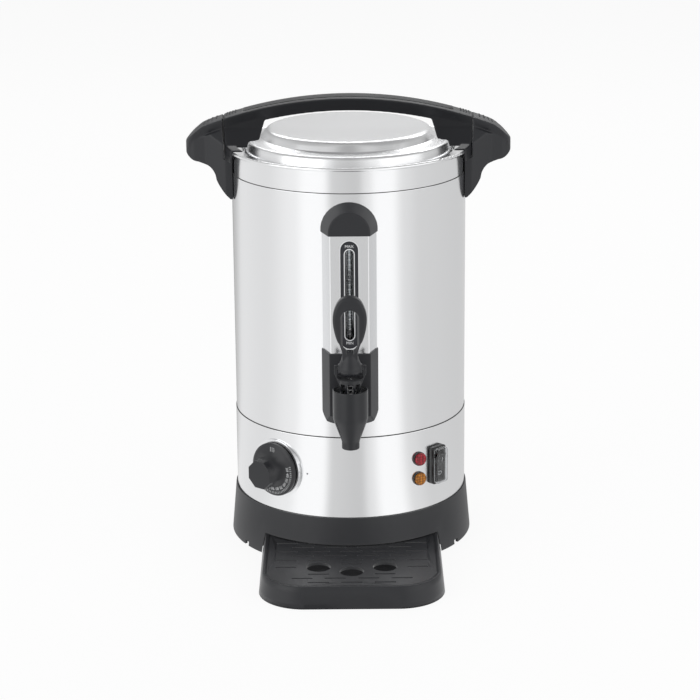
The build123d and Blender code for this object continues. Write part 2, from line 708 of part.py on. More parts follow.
def thermostat_body():
    face_r = math.sqrt((housing_r - SKIN) ** 2 - (STAT_W / 2) ** 2) - LOOSE
    body = outward_box(STAT_W, STAT_H, face_r - STAT_D, face_r, KNOB_AZ, control_z)
    body = fillet(body.edges(), 1.2)
    body += outward_rod(BUSH_R, face_r - 1, housing_r + 1, KNOB_AZ, control_z)
    body -= outward_rod(SHAFT_R + SNUG, face_r - 12, housing_r + 2, KNOB_AZ, control_z)
    for side in (-1, 1):
        hole = side * STAT_SCREW_PITCH / 2
        body -= outward_rod(STAT_SCREW_R + SNUG, face_r - 6, face_r + 1, KNOB_AZ, control_z, y=hole)
    return body


def thermostat_screws():
    face_r = math.sqrt((housing_r - SKIN) ** 2 - (STAT_W / 2) ** 2) - LOOSE
    screws = []
    for side in (-1, 1):
        hole = side * STAT_SCREW_PITCH / 2
        screws.append(outward_rod(STAT_SCREW_R, face_r - 5, housing_r + BEZEL_OUT - 0.1,
                                  KNOB_AZ, control_z, y=hole))
    return Compound(screws)


def thermostat_shaft():
    face_r = math.sqrt((housing_r - SKIN) ** 2 - (STAT_W / 2) ** 2) - LOOSE
    tip = housing_r + BEZEL_OUT + DIAL_GAP + DIAL_T + 8
    shaft = outward_rod(SHAFT_R, face_r - 11, tip, KNOB_AZ, control_z)
    flat_r = housing_r + BEZEL_OUT + DIAL_GAP + 1
    flat = outward_box(2 * SHAFT_R, SHAFT_R, flat_r, tip + 1, KNOB_AZ, control_z, y=SHAFT_R + 1.5)
    return shaft - flat


def thermostat_knob():
    back_r = housing_r + BEZEL_OUT + DIAL_GAP
    front_r = back_r + DIAL_T
    plane = facing(KNOB_AZ, back_r, control_z)
    dial = Pos(0, 0, DIAL_T / 2) * Cylinder(DIAL_R, DIAL_T)
    dial = chamfer(dial.edges().group_by(Axis.Z)[-1], 1.4, 2.6)
    grip = Rot(0, 0, 22.5) * RegularPolygon(GRIP_AF / 2, 8, major_radius=False)
    grip = Pos(0, 0, DIAL_T - 0.5) * extrude(grip, GRIP_L + 0.5, taper=1.5)
    grip = fillet(grip.edges().group_by(Axis.Z)[-1], 1.0)
    knob = plane * (dial + grip)
    bore_end = front_r + 8 + SLIP
    knob -= outward_rod(SHAFT_R + SNUG, back_r - 1, bore_end, KNOB_AZ, control_z)
    return knob


def lamp_body(side):
    z = control_z + side * LAMP_PITCH / 2
    flange_r = housing_r + LAMP_FLANGE_T
    flange = outward_rod(LAMP_FLANGE_R, housing_r - 3, flange_r, LAMP_AZ, z)
    flange -= body_core(housing_r + LOOSE)
    barrel = outward_rod(LAMP_BARREL_R, housing_r - LAMP_BARREL_L, flange_r - 0.2, LAMP_AZ, z)
    barrel += outward_rod(1.2, housing_r - LAMP_BARREL_L - 7, housing_r - LAMP_BARREL_L, LAMP_AZ, z,
                          x=2)
    barrel += outward_rod(1.2, housing_r - LAMP_BARREL_L - 7, housing_r - LAMP_BARREL_L, LAMP_AZ, z,
                          x=-2)
    lamp = flange + barrel
    return lamp - outward_rod(LENS_SPIGOT_R + SNUG, flange_r - LENS_SPIGOT_L - LOOSE, flange_r + 1,
                              LAMP_AZ, z)


def lamp_lens(side):
    z = control_z + side * LAMP_PITCH / 2
    flange_r = housing_r + LAMP_FLANGE_T
    lens = outward_rod(LENS_R, flange_r, flange_r + LENS_H, LAMP_AZ, z)
    outward = Axis((0, 0, z), facing(LAMP_AZ, 0, z).z_dir)
    lens = fillet(lens.faces().sort_by(outward)[-1].edges(), 1.8)
    return lens + outward_rod(LENS_SPIGOT_R, flange_r - LENS_SPIGOT_L, flange_r, LAMP_AZ, z)


def switch_body():
    face_r = housing_r + SWITCH_OUT
    frame = outward_box(SWITCH_W, SWITCH_H, housing_r - 4, face_r, SWITCH_AZ, control_z)
    outward = Axis((0, 0, control_z), facing(SWITCH_AZ, 0, control_z).z_dir)
    frame = fillet(frame.edges().filter_by(outward), 2.2)
    frame = chamfer(frame.faces().sort_by(outward)[-1].edges(), 0.8)
    frame -= body_core(housing_r + LOOSE)
    back_r = housing_r - SWITCH_BODY_D
    frame += outward_box(SWITCH_BODY_W, SWITCH_BODY_H, back_r, face_r - 1, SWITCH_AZ, control_z)
    frame -= outward_box(ROCKER_W + 2 * SLIP, ROCKER_H + 2.4, face_r - 14, face_r + 1,
                         SWITCH_AZ, control_z)
    frame += rocker_pin(face_r)
    for y in (-10, 0, 10):
        frame += outward_box(6, 0.8, back_r - 9, back_r, SWITCH_AZ, control_z, y=y)
    return frame


def rocker_pin(face_r):
    plane = facing(SWITCH_AZ, face_r - ROCKER_PIVOT, control_z)
    return plane * (Rot(0, 90, 0) * Cylinder(ROCKER_PIN_R, ROCKER_W + 4 * SLIP))


def switch_rocker():
    face_r = housing_r + SWITCH_OUT
    half = ROCKER_H / 2
    lift = ROCKER_PIVOT
    side = make_face(Polyline((-half, lift + ROCKER_PROUD), (0, lift + 0.2),
                              (half, lift + ROCKER_PROUD), (half - 0.6, lift - 3.0),
                              (5, -3.2), (-5, -3.2), (-half + 0.6, lift - 3.0), close=True))
    rocker = Rot(0, 0, 90) * (Rot(90, 0, 0) * extrude(side, ROCKER_W / 2, both=True))
    rocker = Rot(ROCKER_TILT, 0, 0) * rocker
    rocker -= Rot(0, 90, 0) * Cylinder(ROCKER_PIN_R + SNUG, ROCKER_W + 2)
    return facing(SWITCH_AZ, face_r - ROCKER_PIVOT, control_z) * rocker


def switch_cover():
    face_r = housing_r + SWITCH_OUT
    shell = Pos(0, 0, RAIN_OUT / 2) * Box(RAIN_W, RAIN_H, RAIN_OUT)
    shell = fillet(shell.edges().filter_by(Axis.Z), 3)
    shell = fillet(shell.edges().group_by(Axis.Z)[-1], 2)
    inside = Pos(0, 0, (RAIN_OUT - RAIN_T) / 2) * Box(
        RAIN_W - 2 * RAIN_T, RAIN_H - 2 * RAIN_T, RAIN_OUT - RAIN_T)
    inside = fillet(inside.edges().filter_by(Axis.Z), 3 - RAIN_T)
    inside = fillet(inside.edges().group_by(Axis.Z)[-1], 2 - RAIN_T)
    return facing(SWITCH_AZ, face_r, control_z) * (shell - inside)


def mains_inlet():
    face_r = housing_r + 2.5
    back_r = face_r - INLET_D - 4
    flange = outward_box(INLET_FLANGE_W, INLET_FLANGE_H, housing_r - 6, face_r, 180, inlet_z)
    flange = fillet(flange.edges().filter_by(Axis.Y), 3)
    flange -= body_core(housing_r + LOOSE)
    inlet = flange + outward_box(INLET_W + 4, INLET_H + 4, back_r, face_r - 1, 180, inlet_z)
    inlet -= outward_box(INLET_W, INLET_H, face_r - INLET_D, face_r + 1, 180, inlet_z)
    for x, y in inlet_pin_places():
        inlet -= inlet_blade(x, y, back_r - 1, face_r, SNUG)
    for side in (-1, 1):
        hole = side * INLET_SCREW_PITCH / 2
        inlet -= outward_rod(1.5 + SNUG, back_r, face_r + 1, 180, inlet_z, x=hole)
    return inlet


def inlet_pin_places():
    return ((-7.0, -0.8), (0.0, 4.6), (7.0, -0.8))


def inlet_blade(x, y, near, far, room=0.0):
    """One contact blade, or the hole for it when it is given some room."""
    align = (Align.CENTER, Align.CENTER, Align.MIN)
    blade = Box(2 + 2 * room, 4 + 2 * room, far - near, align=align)
    return facing(180, near, inlet_z) * (Pos(x, y, 0) * blade)


def inlet_pins():
    face_r = housing_r + 2.5
    near = face_r - INLET_D - 13
    return Compound([inlet_blade(x, y, near, face_r - 3) for x, y in inlet_pin_places()])


def inlet_screws():
    face_r = housing_r + 2.5
    screws = []
    for side in (-1, 1):
        hole = side * INLET_SCREW_PITCH / 2
        head = outward_rod(2.8, face_r, face_r + 1.6, 180, inlet_z, x=hole)
        head = fillet(head.edges().group_by(Axis.Y)[-1], 0.8)
        screws.append(head + outward_rod(1.5, face_r - 16, face_r, 180, inlet_z, x=hole))
    return Compound(screws)


# ---- gauge column ---------------------------------------------------------------------
def column_solid(low, high, step=0.0):
    """Length of the column's tapered section, drawn in by step at its sides and front."""
    back_half = COLUMN_BACK - step
    front_half = COLUMN_FRONT - step * 0.8
    front = column_y + step
    plan = make_face(Polyline((-back_half, -BODY_R + 4), (-front_half, front),
                              (front_half, front), (back_half, -BODY_R + 4), close=True))
    return Pos(0, 0, low) * extrude(plan, high - low)


def cap_cone(step=0.0):
    """Round-ended top of the column: the section's slope turned about the cap's centre."""
    depth = COLUMN_OUT + 4 - step
    cone = Cone(COLUMN_BACK - step, COLUMN_FRONT - step * 0.8, depth,
                align=(Align.CENTER, Align.CENTER, Align.MIN))
    round_end = Pos(0, -BODY_R + 4, cap_z + CAP_SKIRT) * Rot(90, 0, 0) * cone
    upper = block((-40, 40), (column_y - 1, 0), (cap_z + CAP_SKIRT, cap_z + 40))
    return (round_end & upper) + column_solid(cap_z, cap_z + CAP_SKIRT, step)


def window_face(width, low, high):
    """Upright slot outline with round ends, in X and Z."""
    return Pos(0, (low + high) / 2) * SlotOverall(high - low, width, rotation=90)


def front_cut(face, y_front, y_back):
    """Prism along Y from an outline in X and Z."""
    return Pos(0, y_back, 0) * extrude(Plane.XZ * face, amount=y_back - y_front)


def gauge_cover():
    cover = column_solid(shroud_top_z, cap_z, COLUMN_STEP)
    cover = fillet(cover.edges().filter_by(Axis.Z).group_by(Axis.Y)[0], 1.5)
    cover -= column_solid(shroud_top_z - 1, cap_z + 1, COLUMN_STEP + SKIN)
    cover -= body_core(BODY_R + LOOSE)
    window = window_face(WINDOW_W, shroud_top_z + WINDOW_RISE, cap_z - WINDOW_DROP)
    return cover - front_cut(window, column_y - 2, cover_y + 3)


def gauge_label():
    low = shroud_top_z + WINDOW_RISE - SCALE_MARGIN
    high = cap_z - WINDOW_DROP + SCALE_MARGIN
    back_y = cover_y + SKIN + SCALE_T
    plate = front_cut(window_face(WINDOW_W + 2 * SCALE_MARGIN, low, high), cover_y + SKIN, back_y)
    sight = window_face(SIGHT_W, low + SCALE_MARGIN + SIGHT_DROP, high - SCALE_MARGIN - SIGHT_DROP)
    return plate - front_cut(sight, column_y, back_y + 1)


def sight_tube():
    low = shank_z + 12.3
    return pipe(TUBE_R - TUBE_WALL, TUBE_R, low, cap_z + TUBE_TOP, 0, tube_y)


def tube_seals():
    lower = pipe(TUBE_R + SNUG, SEAL_R, shank_z + 14, shank_z + ELBOW_BOSS_H, 0, tube_y)
    floor_top = cap_z + 2
    upper = pipe(TUBE_R + SNUG, SEAL_FLANGE_R, floor_top, floor_top + 2.5, 0, tube_y)
    upper += pipe(TUBE_R + SNUG, SEAL_R, floor_top + 2, floor_top + 8, 0, tube_y)
    return Compound([lower, upper])


def gauge_cap():
    cap = cap_cone()
    arch_edge = cap.edges().filter_by(GeomType.CIRCLE).sort_by(Axis.Y)[0]
    cap = fillet(arch_edge, 1.0)
    bosses = column_bosses(cap, cap_z, arch_z)
    cap -= cap_cone(MOULD_WALL) & block((-40, 40), (column_y, 0), (cap_z + 2, cap_z + 40))
    cap += bosses
    cap -= body_core(BODY_R + LOOSE)
    cap -= disc(TUBE_R + 0.7, cap_z - 1, cap_z + 3, 0, tube_y)
    return cap - column_screw_holes()


def column_bosses(moulding, low, high):
    """Screw bosses inside a column moulding, from the body to the moulding's front wall."""
    bosses = [outward_rod(COLUMN_BOSS_R, BODY_R - 5, BODY_R + COLUMN_OUT + 5, azimuth, z)
              for azimuth, z in column_screw_places() if low < z < high]
    return Compound([boss & moulding for boss in bosses])


def column_screw_holes():
    holes = [outward_rod(COLUMN_SCREW_R + SNUG, BODY_R - 5, BODY_R + COLUMN_SCREW_L + 0.5,
                         azimuth, z) for azimuth, z in column_screw_places()]
    return Compound(holes)


def column_screws():
    screws = []
    seat_r = BODY_R - SKIN - 0.1
    for azimuth, z in column_screw_places():
        head = outward_rod(COLUMN_SCREW_HEAD_R, seat_r - COLUMN_SCREW_HEAD_T, seat_r, azimuth, z)
        shank = outward_rod(COLUMN_SCREW_R, seat_r, BODY_R + COLUMN_SCREW_L, azimuth, z)
        screws.append(head + shank)
    return Compound(screws)


def tap_shroud():
    outline = Pos(0, (shroud_top_z + shroud_low_z) / 2) * Rectangle(
        2 * COLUMN_BACK, shroud_top_z - shroud_low_z)
    outline = fillet(outline.vertices().group_by(Axis.Y)[0], SHROUD_CORNER_R)
    shroud = column_solid(shroud_low_z, shroud_top_z) & front_view(outline, BODY_R + 60)
    shroud -= shroud_chin(0)
    bosses = column_bosses(shroud, shroud_low_z, shroud_top_z)
    hollow = column_solid(shroud_low_z + MOULD_WALL, shroud_top_z - 2, MOULD_WALL)
    inner = Pos(0, (shroud_top_z + shroud_low_z) / 2) * Rectangle(
        2 * COLUMN_BACK - 2 * MOULD_WALL, shroud_top_z - shroud_low_z - 2 * MOULD_WALL)
    inner = fillet(inner.vertices().group_by(Axis.Y)[0], SHROUD_CORNER_R - MOULD_WALL)
    hollow = (hollow & front_view(inner, BODY_R + 60)) - shroud_chin(MOULD_WALL)
    shroud -= hollow
    shroud += bosses
    shroud -= body_core(BODY_R + LOOSE)
    shroud -= front_rod(SHANK_R + LOOSE, column_y - 2, column_y + 6, shank_z)
    shroud -= disc(TUBE_R + 0.7, shroud_top_z - 5, shroud_top_z + 1, 0, tube_y)
    return shroud - column_screw_holes()


def shroud_chin(wall):
    """Wedge that slopes the shroud's lower end back to the body."""
    top = shroud_low_z + 13 + wall
    side = make_face(Polyline((column_y - 1, shroud_low_z - 1), (column_y - 1, top),
                              (-BODY_R - 4, shroud_low_z + wall), (-BODY_R - 4, shroud_low_z - 1),
                              close=True))
    return extrude(Plane.YZ * side, amount=COLUMN_BACK + 5, both=True)


def gauge_elbow():
    front = column_y + MOULD_WALL + 0.1
    elbow = front_rod(ELBOW_R, front, -tank_r + 6, shank_z)
    elbow += disc(ELBOW_BOSS_R, shank_z, shank_z + ELBOW_BOSS_H, 0, tube_y)
    elbow -= front_rod(SHANK_R + SNUG, front - 1, -tank_r + 7, shank_z)
    elbow -= disc(SEAL_R + SNUG, shank_z + 12, shank_z + ELBOW_BOSS_H + 1, 0, tube_y)
    elbow -= disc(2.5, shank_z + 5, shank_z + 13, 0, tube_y)
    return elbow - body_core(tank_r + 0.15)


# ---- tap ------------------------------------------------------------------------------
def about_tap(shape):
    return Pos(0, tap_y, 0) * shape


def tap_body():
    taper_z = shank_z - TAPER_DOWN
    spout_z = shank_z - SPOUT_TOP_DOWN
    end_z = shank_z - SPOUT_DOWN
    body = turned((0, end_z), (SPOUT_R, end_z), (SPOUT_R, spout_z), (TAP_R, taper_z),
                  (TAP_R, cup_z), (0, cup_z))
    rings = body.edges().filter_by(GeomType.CIRCLE)
    body = fillet(rings.filter_by(lambda edge: abs(edge.center().Z - taper_z) < 0.01), CUP_BLEND_R)
    rings = body.edges().filter_by(GeomType.CIRCLE)
    body = fillet(rings.filter_by(lambda edge: abs(edge.center().Z - spout_z) < 0.01), SPOUT_BLEND_R)
    body = about_tap(body)
    shank_end = -tank_r + SKIN + NUT_T + 6
    body += front_rod(SHANK_R + 1.5, tap_y, column_y - SHOULDER_T + 0.5, shank_z)
    body += front_rod(SHOULDER_R, column_y - SHOULDER_T, column_y, shank_z)
    body += front_rod(SHANK_R, column_y - 1, shank_end, shank_z)
    body -= disc(CHAMBER_R, seat_face_z, cup_z + 1, 0, tap_y)
    body -= disc(TAP_R - CUP_WALL, cup_floor_z, cup_z + 1, 0, tap_y)
    body -= disc(SPOUT_BORE_R, end_z - 1, seat_face_z + 1, 0, tap_y)
    body -= front_rod(SHANK_BORE_R, tap_y, shank_end + 1, shank_z)
    return body - disc(2.5, shank_z, shank_z + SHANK_R + 1, 0, tube_y)


def tap_washer():
    ring = front_rod(WASHER_R, -tank_r - 1, -tank_r + SKIN + 4.5, shank_z)
    ring -= front_rod(SHANK_R + SNUG, -tank_r - 2, -tank_r + 9, shank_z)
    return ring & body_core(tank_r - SKIN - 0.1)


def tap_nut():
    front = -tank_r + SKIN + 4.5
    nut = Pos(0, front, shank_z) * Rot(-90, 0, 0) * hexagon(NUT_AF, NUT_T)
    return nut - front_rod(SHANK_R + SNUG, front - 1, front + NUT_T + 1, shank_z)


def tap_bonnet():
    low = cup_floor_z - BONNET_THREAD_L
    bonnet = disc(CHAMBER_R - 2 * SNUG, low, cup_floor_z)
    cage = Cone(BONNET_LOW_R, BONNET_R, deck_z - cup_floor_z)
    bonnet += Pos(0, 0, (cup_floor_z + deck_z) / 2) * cage
    bonnet = fillet(bonnet.edges().filter_by(GeomType.CIRCLE).group_by(Axis.Z)[-1], 0.6)
    ceiling = deck_z - BONNET_TOP_T
    for side in (-1, 1):
        inner = BULB_HALF + SLIP
        outer = inner + EAR_T
        arm = make_face(Polyline((side * inner, pivot_z), (side * outer, pivot_z),
                                 (side * outer, pivot_z - 3), (side * BONNET_LOW_R, ceiling - 4),
                                 (side * (BONNET_LOW_R - 1.5), ceiling - 4),
                                 (side * (inner - 3), deck_z), (side * inner, deck_z + 1),
                                 close=True))
        ear = Pos(side * inner, 0, pivot_z) * Rot(0, side * 90, 0) * Cylinder(
            EAR_R, EAR_T, align=(Align.CENTER, Align.CENTER, Align.MIN))
        bonnet += front_view(arm, 3.6) + ear
    window = block((0, BONNET_R + 3), (-BONNET_WINDOW_W / 2, BONNET_WINDOW_W / 2),
                   (cup_floor_z, ceiling))
    for place in PolarLocations(0, BONNET_WINDOWS, 45):
        if abs(math.sin(math.radians(place.orientation.Z))) > 0.1:
            bonnet -= place * window
    bonnet -= disc(BONNET_BORE_R, low - 1, ceiling)
    bonnet -= disc(STEM_R + SNUG, low, deck_z + 1)
    pin_hole = Pos(0, 0, pivot_z) * Rot(0, 90, 0) * Cylinder(PIN_R + SNUG, 60)
    return about_tap(bonnet - pin_hole)


def lever_pin():
    pin = Rot(0, 90, 0) * Cylinder(PIN_R, 2 * (BULB_HALF + SLIP + EAR_T))
    return Pos(0, tap_y, pivot_z) * chamfer(pin.edges(), 0.4)


def lever_outline():
    """Loop and neck seen from the front, with the pin at the origin."""
    right = Spline((0, LEVER_TOP), (LOOP_HALF * 0.82, LEVER_TOP - 9.5), (LOOP_HALF, LOOP_RISE),
                   (LOOP_HALF * 0.7, HOLE_LOW + 8.4), (NECK_HALF, NECK_RISE),
                   tangents=((1, 0), (-0.25, -1)))
    left = mirror(right, Plane.YZ)
    neck = Polyline((NECK_HALF, NECK_RISE), (NECK_HALF, 4), (-NECK_HALF, 4),
                    (-NECK_HALF, NECK_RISE))
    return make_face(Wire([right.edge(), left.edge()] + list(neck.edges())))


def lever_bulb():
    """Rounded foot of the lever, around the pin."""
    side = Spline((0, -PIVOT_UP + 0.8), (5.6, -6.3), (9.0, -4.1), (BULB_HALF, 0.5), (10.4, 4.5),
                  (8.3, 9.5), (NECK_HALF - 0.3, NECK_RISE - 2), (BULB_TOP_R, NECK_RISE + 1.5),
                  tangents=((1, 0), (-0.6, 1)))
    closing = Polyline((BULB_TOP_R, NECK_RISE + 1.5), (0, NECK_RISE + 1.5), (0, -PIVOT_UP + 0.8))
    profile = make_face(Wire([side.edge()] + list(closing.edges())))
    bulb = revolve(Plane.XZ * profile, Axis.Z)
    return bulb + Rot(0, 90, 0) * Cylinder(HUB_R, 2 * BULB_HALF)


def stem_slot():
    """Room for the stem in the lever's foot at every tilt."""
    half = STEM_R + SLIP
    reach = pivot_z - stem_top_z - STEM_LIFT - SLIP
    way = block((-half, half), (-half, half), (-20, -reach))
    steps = 5
    return Compound([Rot(-LEVER_TILT * step / steps, 0, 0) * way for step in range(steps + 1)])


def tap_lever():
    plate = extrude(Plane.XZ * lever_outline(), amount=LEVER_T / 2, both=True)
    plate = fillet(plate.edges().filter_by(
        lambda edge: edge.center().Z > NECK_RISE and abs(edge.center().Y) > 1), LEVER_EDGE_R)
    hole = Pos(0, (HOLE_LOW + HOLE_HIGH) / 2) * SlotOverall(HOLE_HIGH - HOLE_LOW, HOLE_W, rotation=90)
    half_cut = extrude(Plane.XZ * hole, amount=LEVER_T / 2 + 1, taper=-HOLE_FLARE)
    plate -= half_cut
    plate -= mirror(half_cut, Plane.XZ)
    foot = Pos(0, HOLE_FOOT + 7) * SlotOverall(14, HOLE_FOOT_W, rotation=90)
    plate -= extrude(Plane.XZ * foot, amount=LEVER_T, both=True)
    lever = Rot(LEVER_LEAN, 0, 0) * plate + lever_bulb()
    lever -= stem_slot()
    lever -= Rot(0, 90, 0) * Cylinder(PIN_R + SNUG, 60)
    return Pos(0, tap_y, pivot_z) * lever


def tap_stem():
    cup_top = seat_face_z + 0.2 + CUP_SEAL_T
    stem = disc(STEM_R, cup_top - 3, stem_top_z, 0, tap_y)
    return stem + disc(STEM_COLLAR_R, cup_top, cup_top + STEM_COLLAR_T, 0, tap_y)


def seat_cup():
    low = seat_face_z + 0.2
    cup = disc(CUP_SEAL_R, low, low + CUP_SEAL_T, 0, tap_y)
    cup = fillet(cup.edges().group_by(Axis.Z)[-1], 1.5)
    return cup - disc(STEM_R + SNUG, low + CUP_SEAL_T - 3 - SNUG, low + 20, 0, tap_y)


def tap_spring():
    low = seat_face_z + 0.2 + CUP_SEAL_T + STEM_COLLAR_T + SPRING_WIRE_R + SNUG
    high = deck_z - BONNET_TOP_T - SPRING_WIRE_R - SNUG
    path = Helix((high - low) / SPRING_TURNS, high - low, SPRING_R)
    section = Plane(origin=path @ 0, z_dir=path % 0) * Circle(SPRING_WIRE_R)
    return Pos(0, tap_y, low) * sweep(section, path=path, is_frenet=True)


# ---- lid ------------------------------------------------------------------------------
def lid_core(inset, foot_r):
    """Solid inside the lid's outer surface, drawn in by inset."""
    top_z = seat_z + LID_WALL_H + LID_DOME_H - inset
    wall_z = seat_z + LID_WALL_H - inset
    mid_r = (lid_top_r + lid_dome_r) / 2 - inset
    outline = [
        Line((0, seat_z - 1), (0, top_z)),
        Line((0, top_z), (lid_top_r - inset, top_z)),
        ThreePointArc((lid_top_r - inset, top_z),
                      (mid_r - 0.6, top_z - 1.4), (mid_r + 2.0, top_z - 4.2)),
        Line((mid_r + 2.0, top_z - 4.2), (lid_dome_r - inset - 0.6, wall_z + 2.4)),
        Line((lid_dome_r - inset - 0.6, wall_z + 2.4), (lid_dome_r - inset + 1.6, wall_z + 1.2)),
        Line((lid_dome_r - inset + 1.6, wall_z + 1.2), (lid_shoulder_r - inset - 3.5, wall_z)),
        ThreePointArc((lid_shoulder_r - inset - 3.5, wall_z),
                      (lid_shoulder_r - inset - 1.0, wall_z - 1.0),
                      (lid_shoulder_r - inset, wall_z - 3.5)),
        Line((lid_shoulder_r - inset, wall_z - 3.5), (foot_r, seat_z + 1.2)),
        Line((foot_r, seat_z + 1.2), (foot_r, seat_z - 1)),
        Line((foot_r, seat_z - 1), (0, seat_z - 1)),
    ]
    return revolve(Plane.XZ * make_face(Wire([line.edge() for line in outline])), Axis.Z)


def lid_shell():
    outside = lid_core(0, lid_foot_r - 1.2)
    inside = lid_core(SKIN, lid_foot_r - 1.2 - SKIN)
    shell = outside - inside
    flange_in = mouth_r + 2
    shell -= disc(lid_foot_r + 5, seat_z - 2, seat_z)
    shell += pipe(flange_in, lid_foot_r, seat_z, seat_z + SKIN)
    for side in (-1, 1):
        shell -= disc(LID_SCREW_R + 2 * SNUG, seat_z, rim_z + 30, side * lid_screw_x, 0)
    return shell


def lid_gasket():
    outer = well_r - SKIN - LOOSE
    return pipe(outer - GASKET_W, outer, well_z + SKIN, seat_z)


def arch_section(half, crown, face, undercut, thickness, drop=0.0):
    """Bar's cross-section at the crown of the arch."""
    top = arch_z - drop
    low_half = half - undercut
    edges = [
        ThreePointArc((-half, top - crown), (0, top), (half, top - crown)),
        Line((half, top - crown), (low_half, top - face)),
        Line((low_half, top - face), (low_half - 1, top - thickness)),
        Line((low_half - 1, top - thickness), (-low_half + 1, top - thickness)),
        Line((-low_half + 1, top - thickness), (-low_half, top - face)),
        Line((-low_half, top - face), (-half, top - crown)),
    ]
    return Plane.YZ * make_face(Wire([edge.edge() for edge in edges]))


def arched(section, start, end):
    """Section swept along the arch, between two angles from its crown."""
    axis = Axis((0, 0, arch_centre_z), (0, 1, 0))
    return revolve(section.rotate(axis, start), axis, end - start)


def arch_angle(x):
    """Angle from the crown of the arch to a place beside the axis."""
    return math.degrees(math.asin(x / ARCH_R))


def arch_bar(start, end):
    return arched(arch_section(BAR_HALF, BAR_CROWN, BAR_FACE, BAR_UNDERCUT, BAR_T), start, end)


def web_wedge(top):
    """Long prism along X: a web's section, which widens downwards."""
    knee = rim_z + WEB_KNEE
    spread = WEB_LOW_HALF - WEB_HALF
    low = knee - spread * WEB_SLOPE
    half = [(WEB_HALF, top), (WEB_HALF, knee), (WEB_LOW_HALF, low), (WEB_LOW_HALF, foot_z)]
    other = [(-y, z) for y, z in reversed(half)]
    side = make_face(Polyline(*half, *other, close=True))
    return extrude(Plane.YZ * side, amount=grip_reach + 10, both=True)


def under_bar(room=0.0):
    """Everything below the lower edge of the bar's front face."""
    drum = Cylinder(ARCH_R - BAR_FACE + room, 4 * BRACKET_HALF)
    return Pos(0, 0, arch_centre_z) * Rot(90, 0, 0) * drum


def web_reach():
    """Where a web may be, seen from the front: its inner end leans in towards the arch."""
    foot_x = lid_dome_r + WEB_FOOT_BACK
    side = make_face(Polyline((foot_x, foot_z - 1), (foot_x, seat_z + LID_WALL_H), (web_start, arch_z),
                              (lid_end_r + 8, arch_z), (lid_end_r + 8, foot_z - 1), close=True))
    return extrude(Plane.XZ * side, amount=2 * FOOT_HALF, both=True)


def lid_handle():
    web = web_wedge(arch_z) & block((web_start, lid_end_r + 6), (-FOOT_HALF, FOOT_HALF), (foot_z, arch_z))
    web = web & under_bar() & web_reach()
    foot = pipe(lid_foot_r + 8, lid_end_r, foot_z, rim_z + FOOT_LIP)
    foot = foot & block((web_start, lid_end_r + 6), (-FOOT_HALF, FOOT_HALF), (foot_z, arch_z))
    side = web + foot
    end = arch_angle(lid_end_r + 4)
    handle = arch_bar(-end, end) + side + mirrored(side)
    handle = handle & disc(lid_end_r, foot_z, arch_z + 5)
    latch = pipe(lid_end_r - 0.6, lid_end_r + LATCH_OUT, foot_z, foot_z + LATCH_H)
    handle += latch & block((-lid_end_r - 5, -web_start), (-FOOT_HALF, -WEB_LOW_HALF + 6), (0, arch_z))
    handle -= lid_core(-LOOSE, lid_foot_r + LOOSE)
    handle -= disc(bead_out_r + SLIP, foot_z - 1, rim_z + 0.5)
    handle -= inlay_recess()
    for side in (-1, 1):
        handle -= disc(LID_SCREW_R + SNUG, seat_z, rim_z + 21, side * lid_screw_x, 0)
    return handle


def inlay_recess():
    half = INLAY_HALF + SLIP / 2
    box = Pos(0, arch_z - INLAY_DEPTH + 5) * Rectangle(2 * half, 10)
    angle = INLAY_ANGLE + 0.05
    return arched(Plane.YZ * box, -angle, angle)


def grip_inlay():
    """Soft strip let into the top of the arch."""
    low = arch_z - INLAY_DEPTH + SNUG
    edges = [
        ThreePointArc((-INLAY_HALF, arch_z - 0.5), (0, arch_z + 0.2), (INLAY_HALF, arch_z - 0.5)),
        Line((INLAY_HALF, arch_z - 0.5), (INLAY_HALF, low)),
        Line((INLAY_HALF, low), (-INLAY_HALF, low)),
        Line((-INLAY_HALF, low), (-INLAY_HALF, arch_z - 0.5)),
    ]
    section = Plane.YZ * make_face(Wire([edge.edge() for edge in edges]))
    return arched(section, -INLAY_ANGLE, INLAY_ANGLE)


def lid_screws():
    slope = 1.2 / (lid_shoulder_r - 5.1 - lid_dome_r)
    drop = (lid_screw_x + LID_SCREW_HEAD_R - lid_dome_r - 1) * slope
    head_top = seat_z + LID_WALL_H + 1.2 - drop - 2 * SKIN
    screws = []
    for side in (-1, 1):
        x = side * lid_screw_x
        head = disc(LID_SCREW_HEAD_R, head_top - 2, head_top, x, 0)
        head = fillet(head.edges().group_by(Axis.Z)[0], 0.9)
        screws.append(head + disc(LID_SCREW_R, head_top, rim_z + 20, x, 0))
    return Compound(screws)


# ---- side handles ---------------------------------------------------------------------
def reach_x(share):
    """Place between the shell and a side handle's outermost face."""
    return BODY_R + share * GRIP_OUT


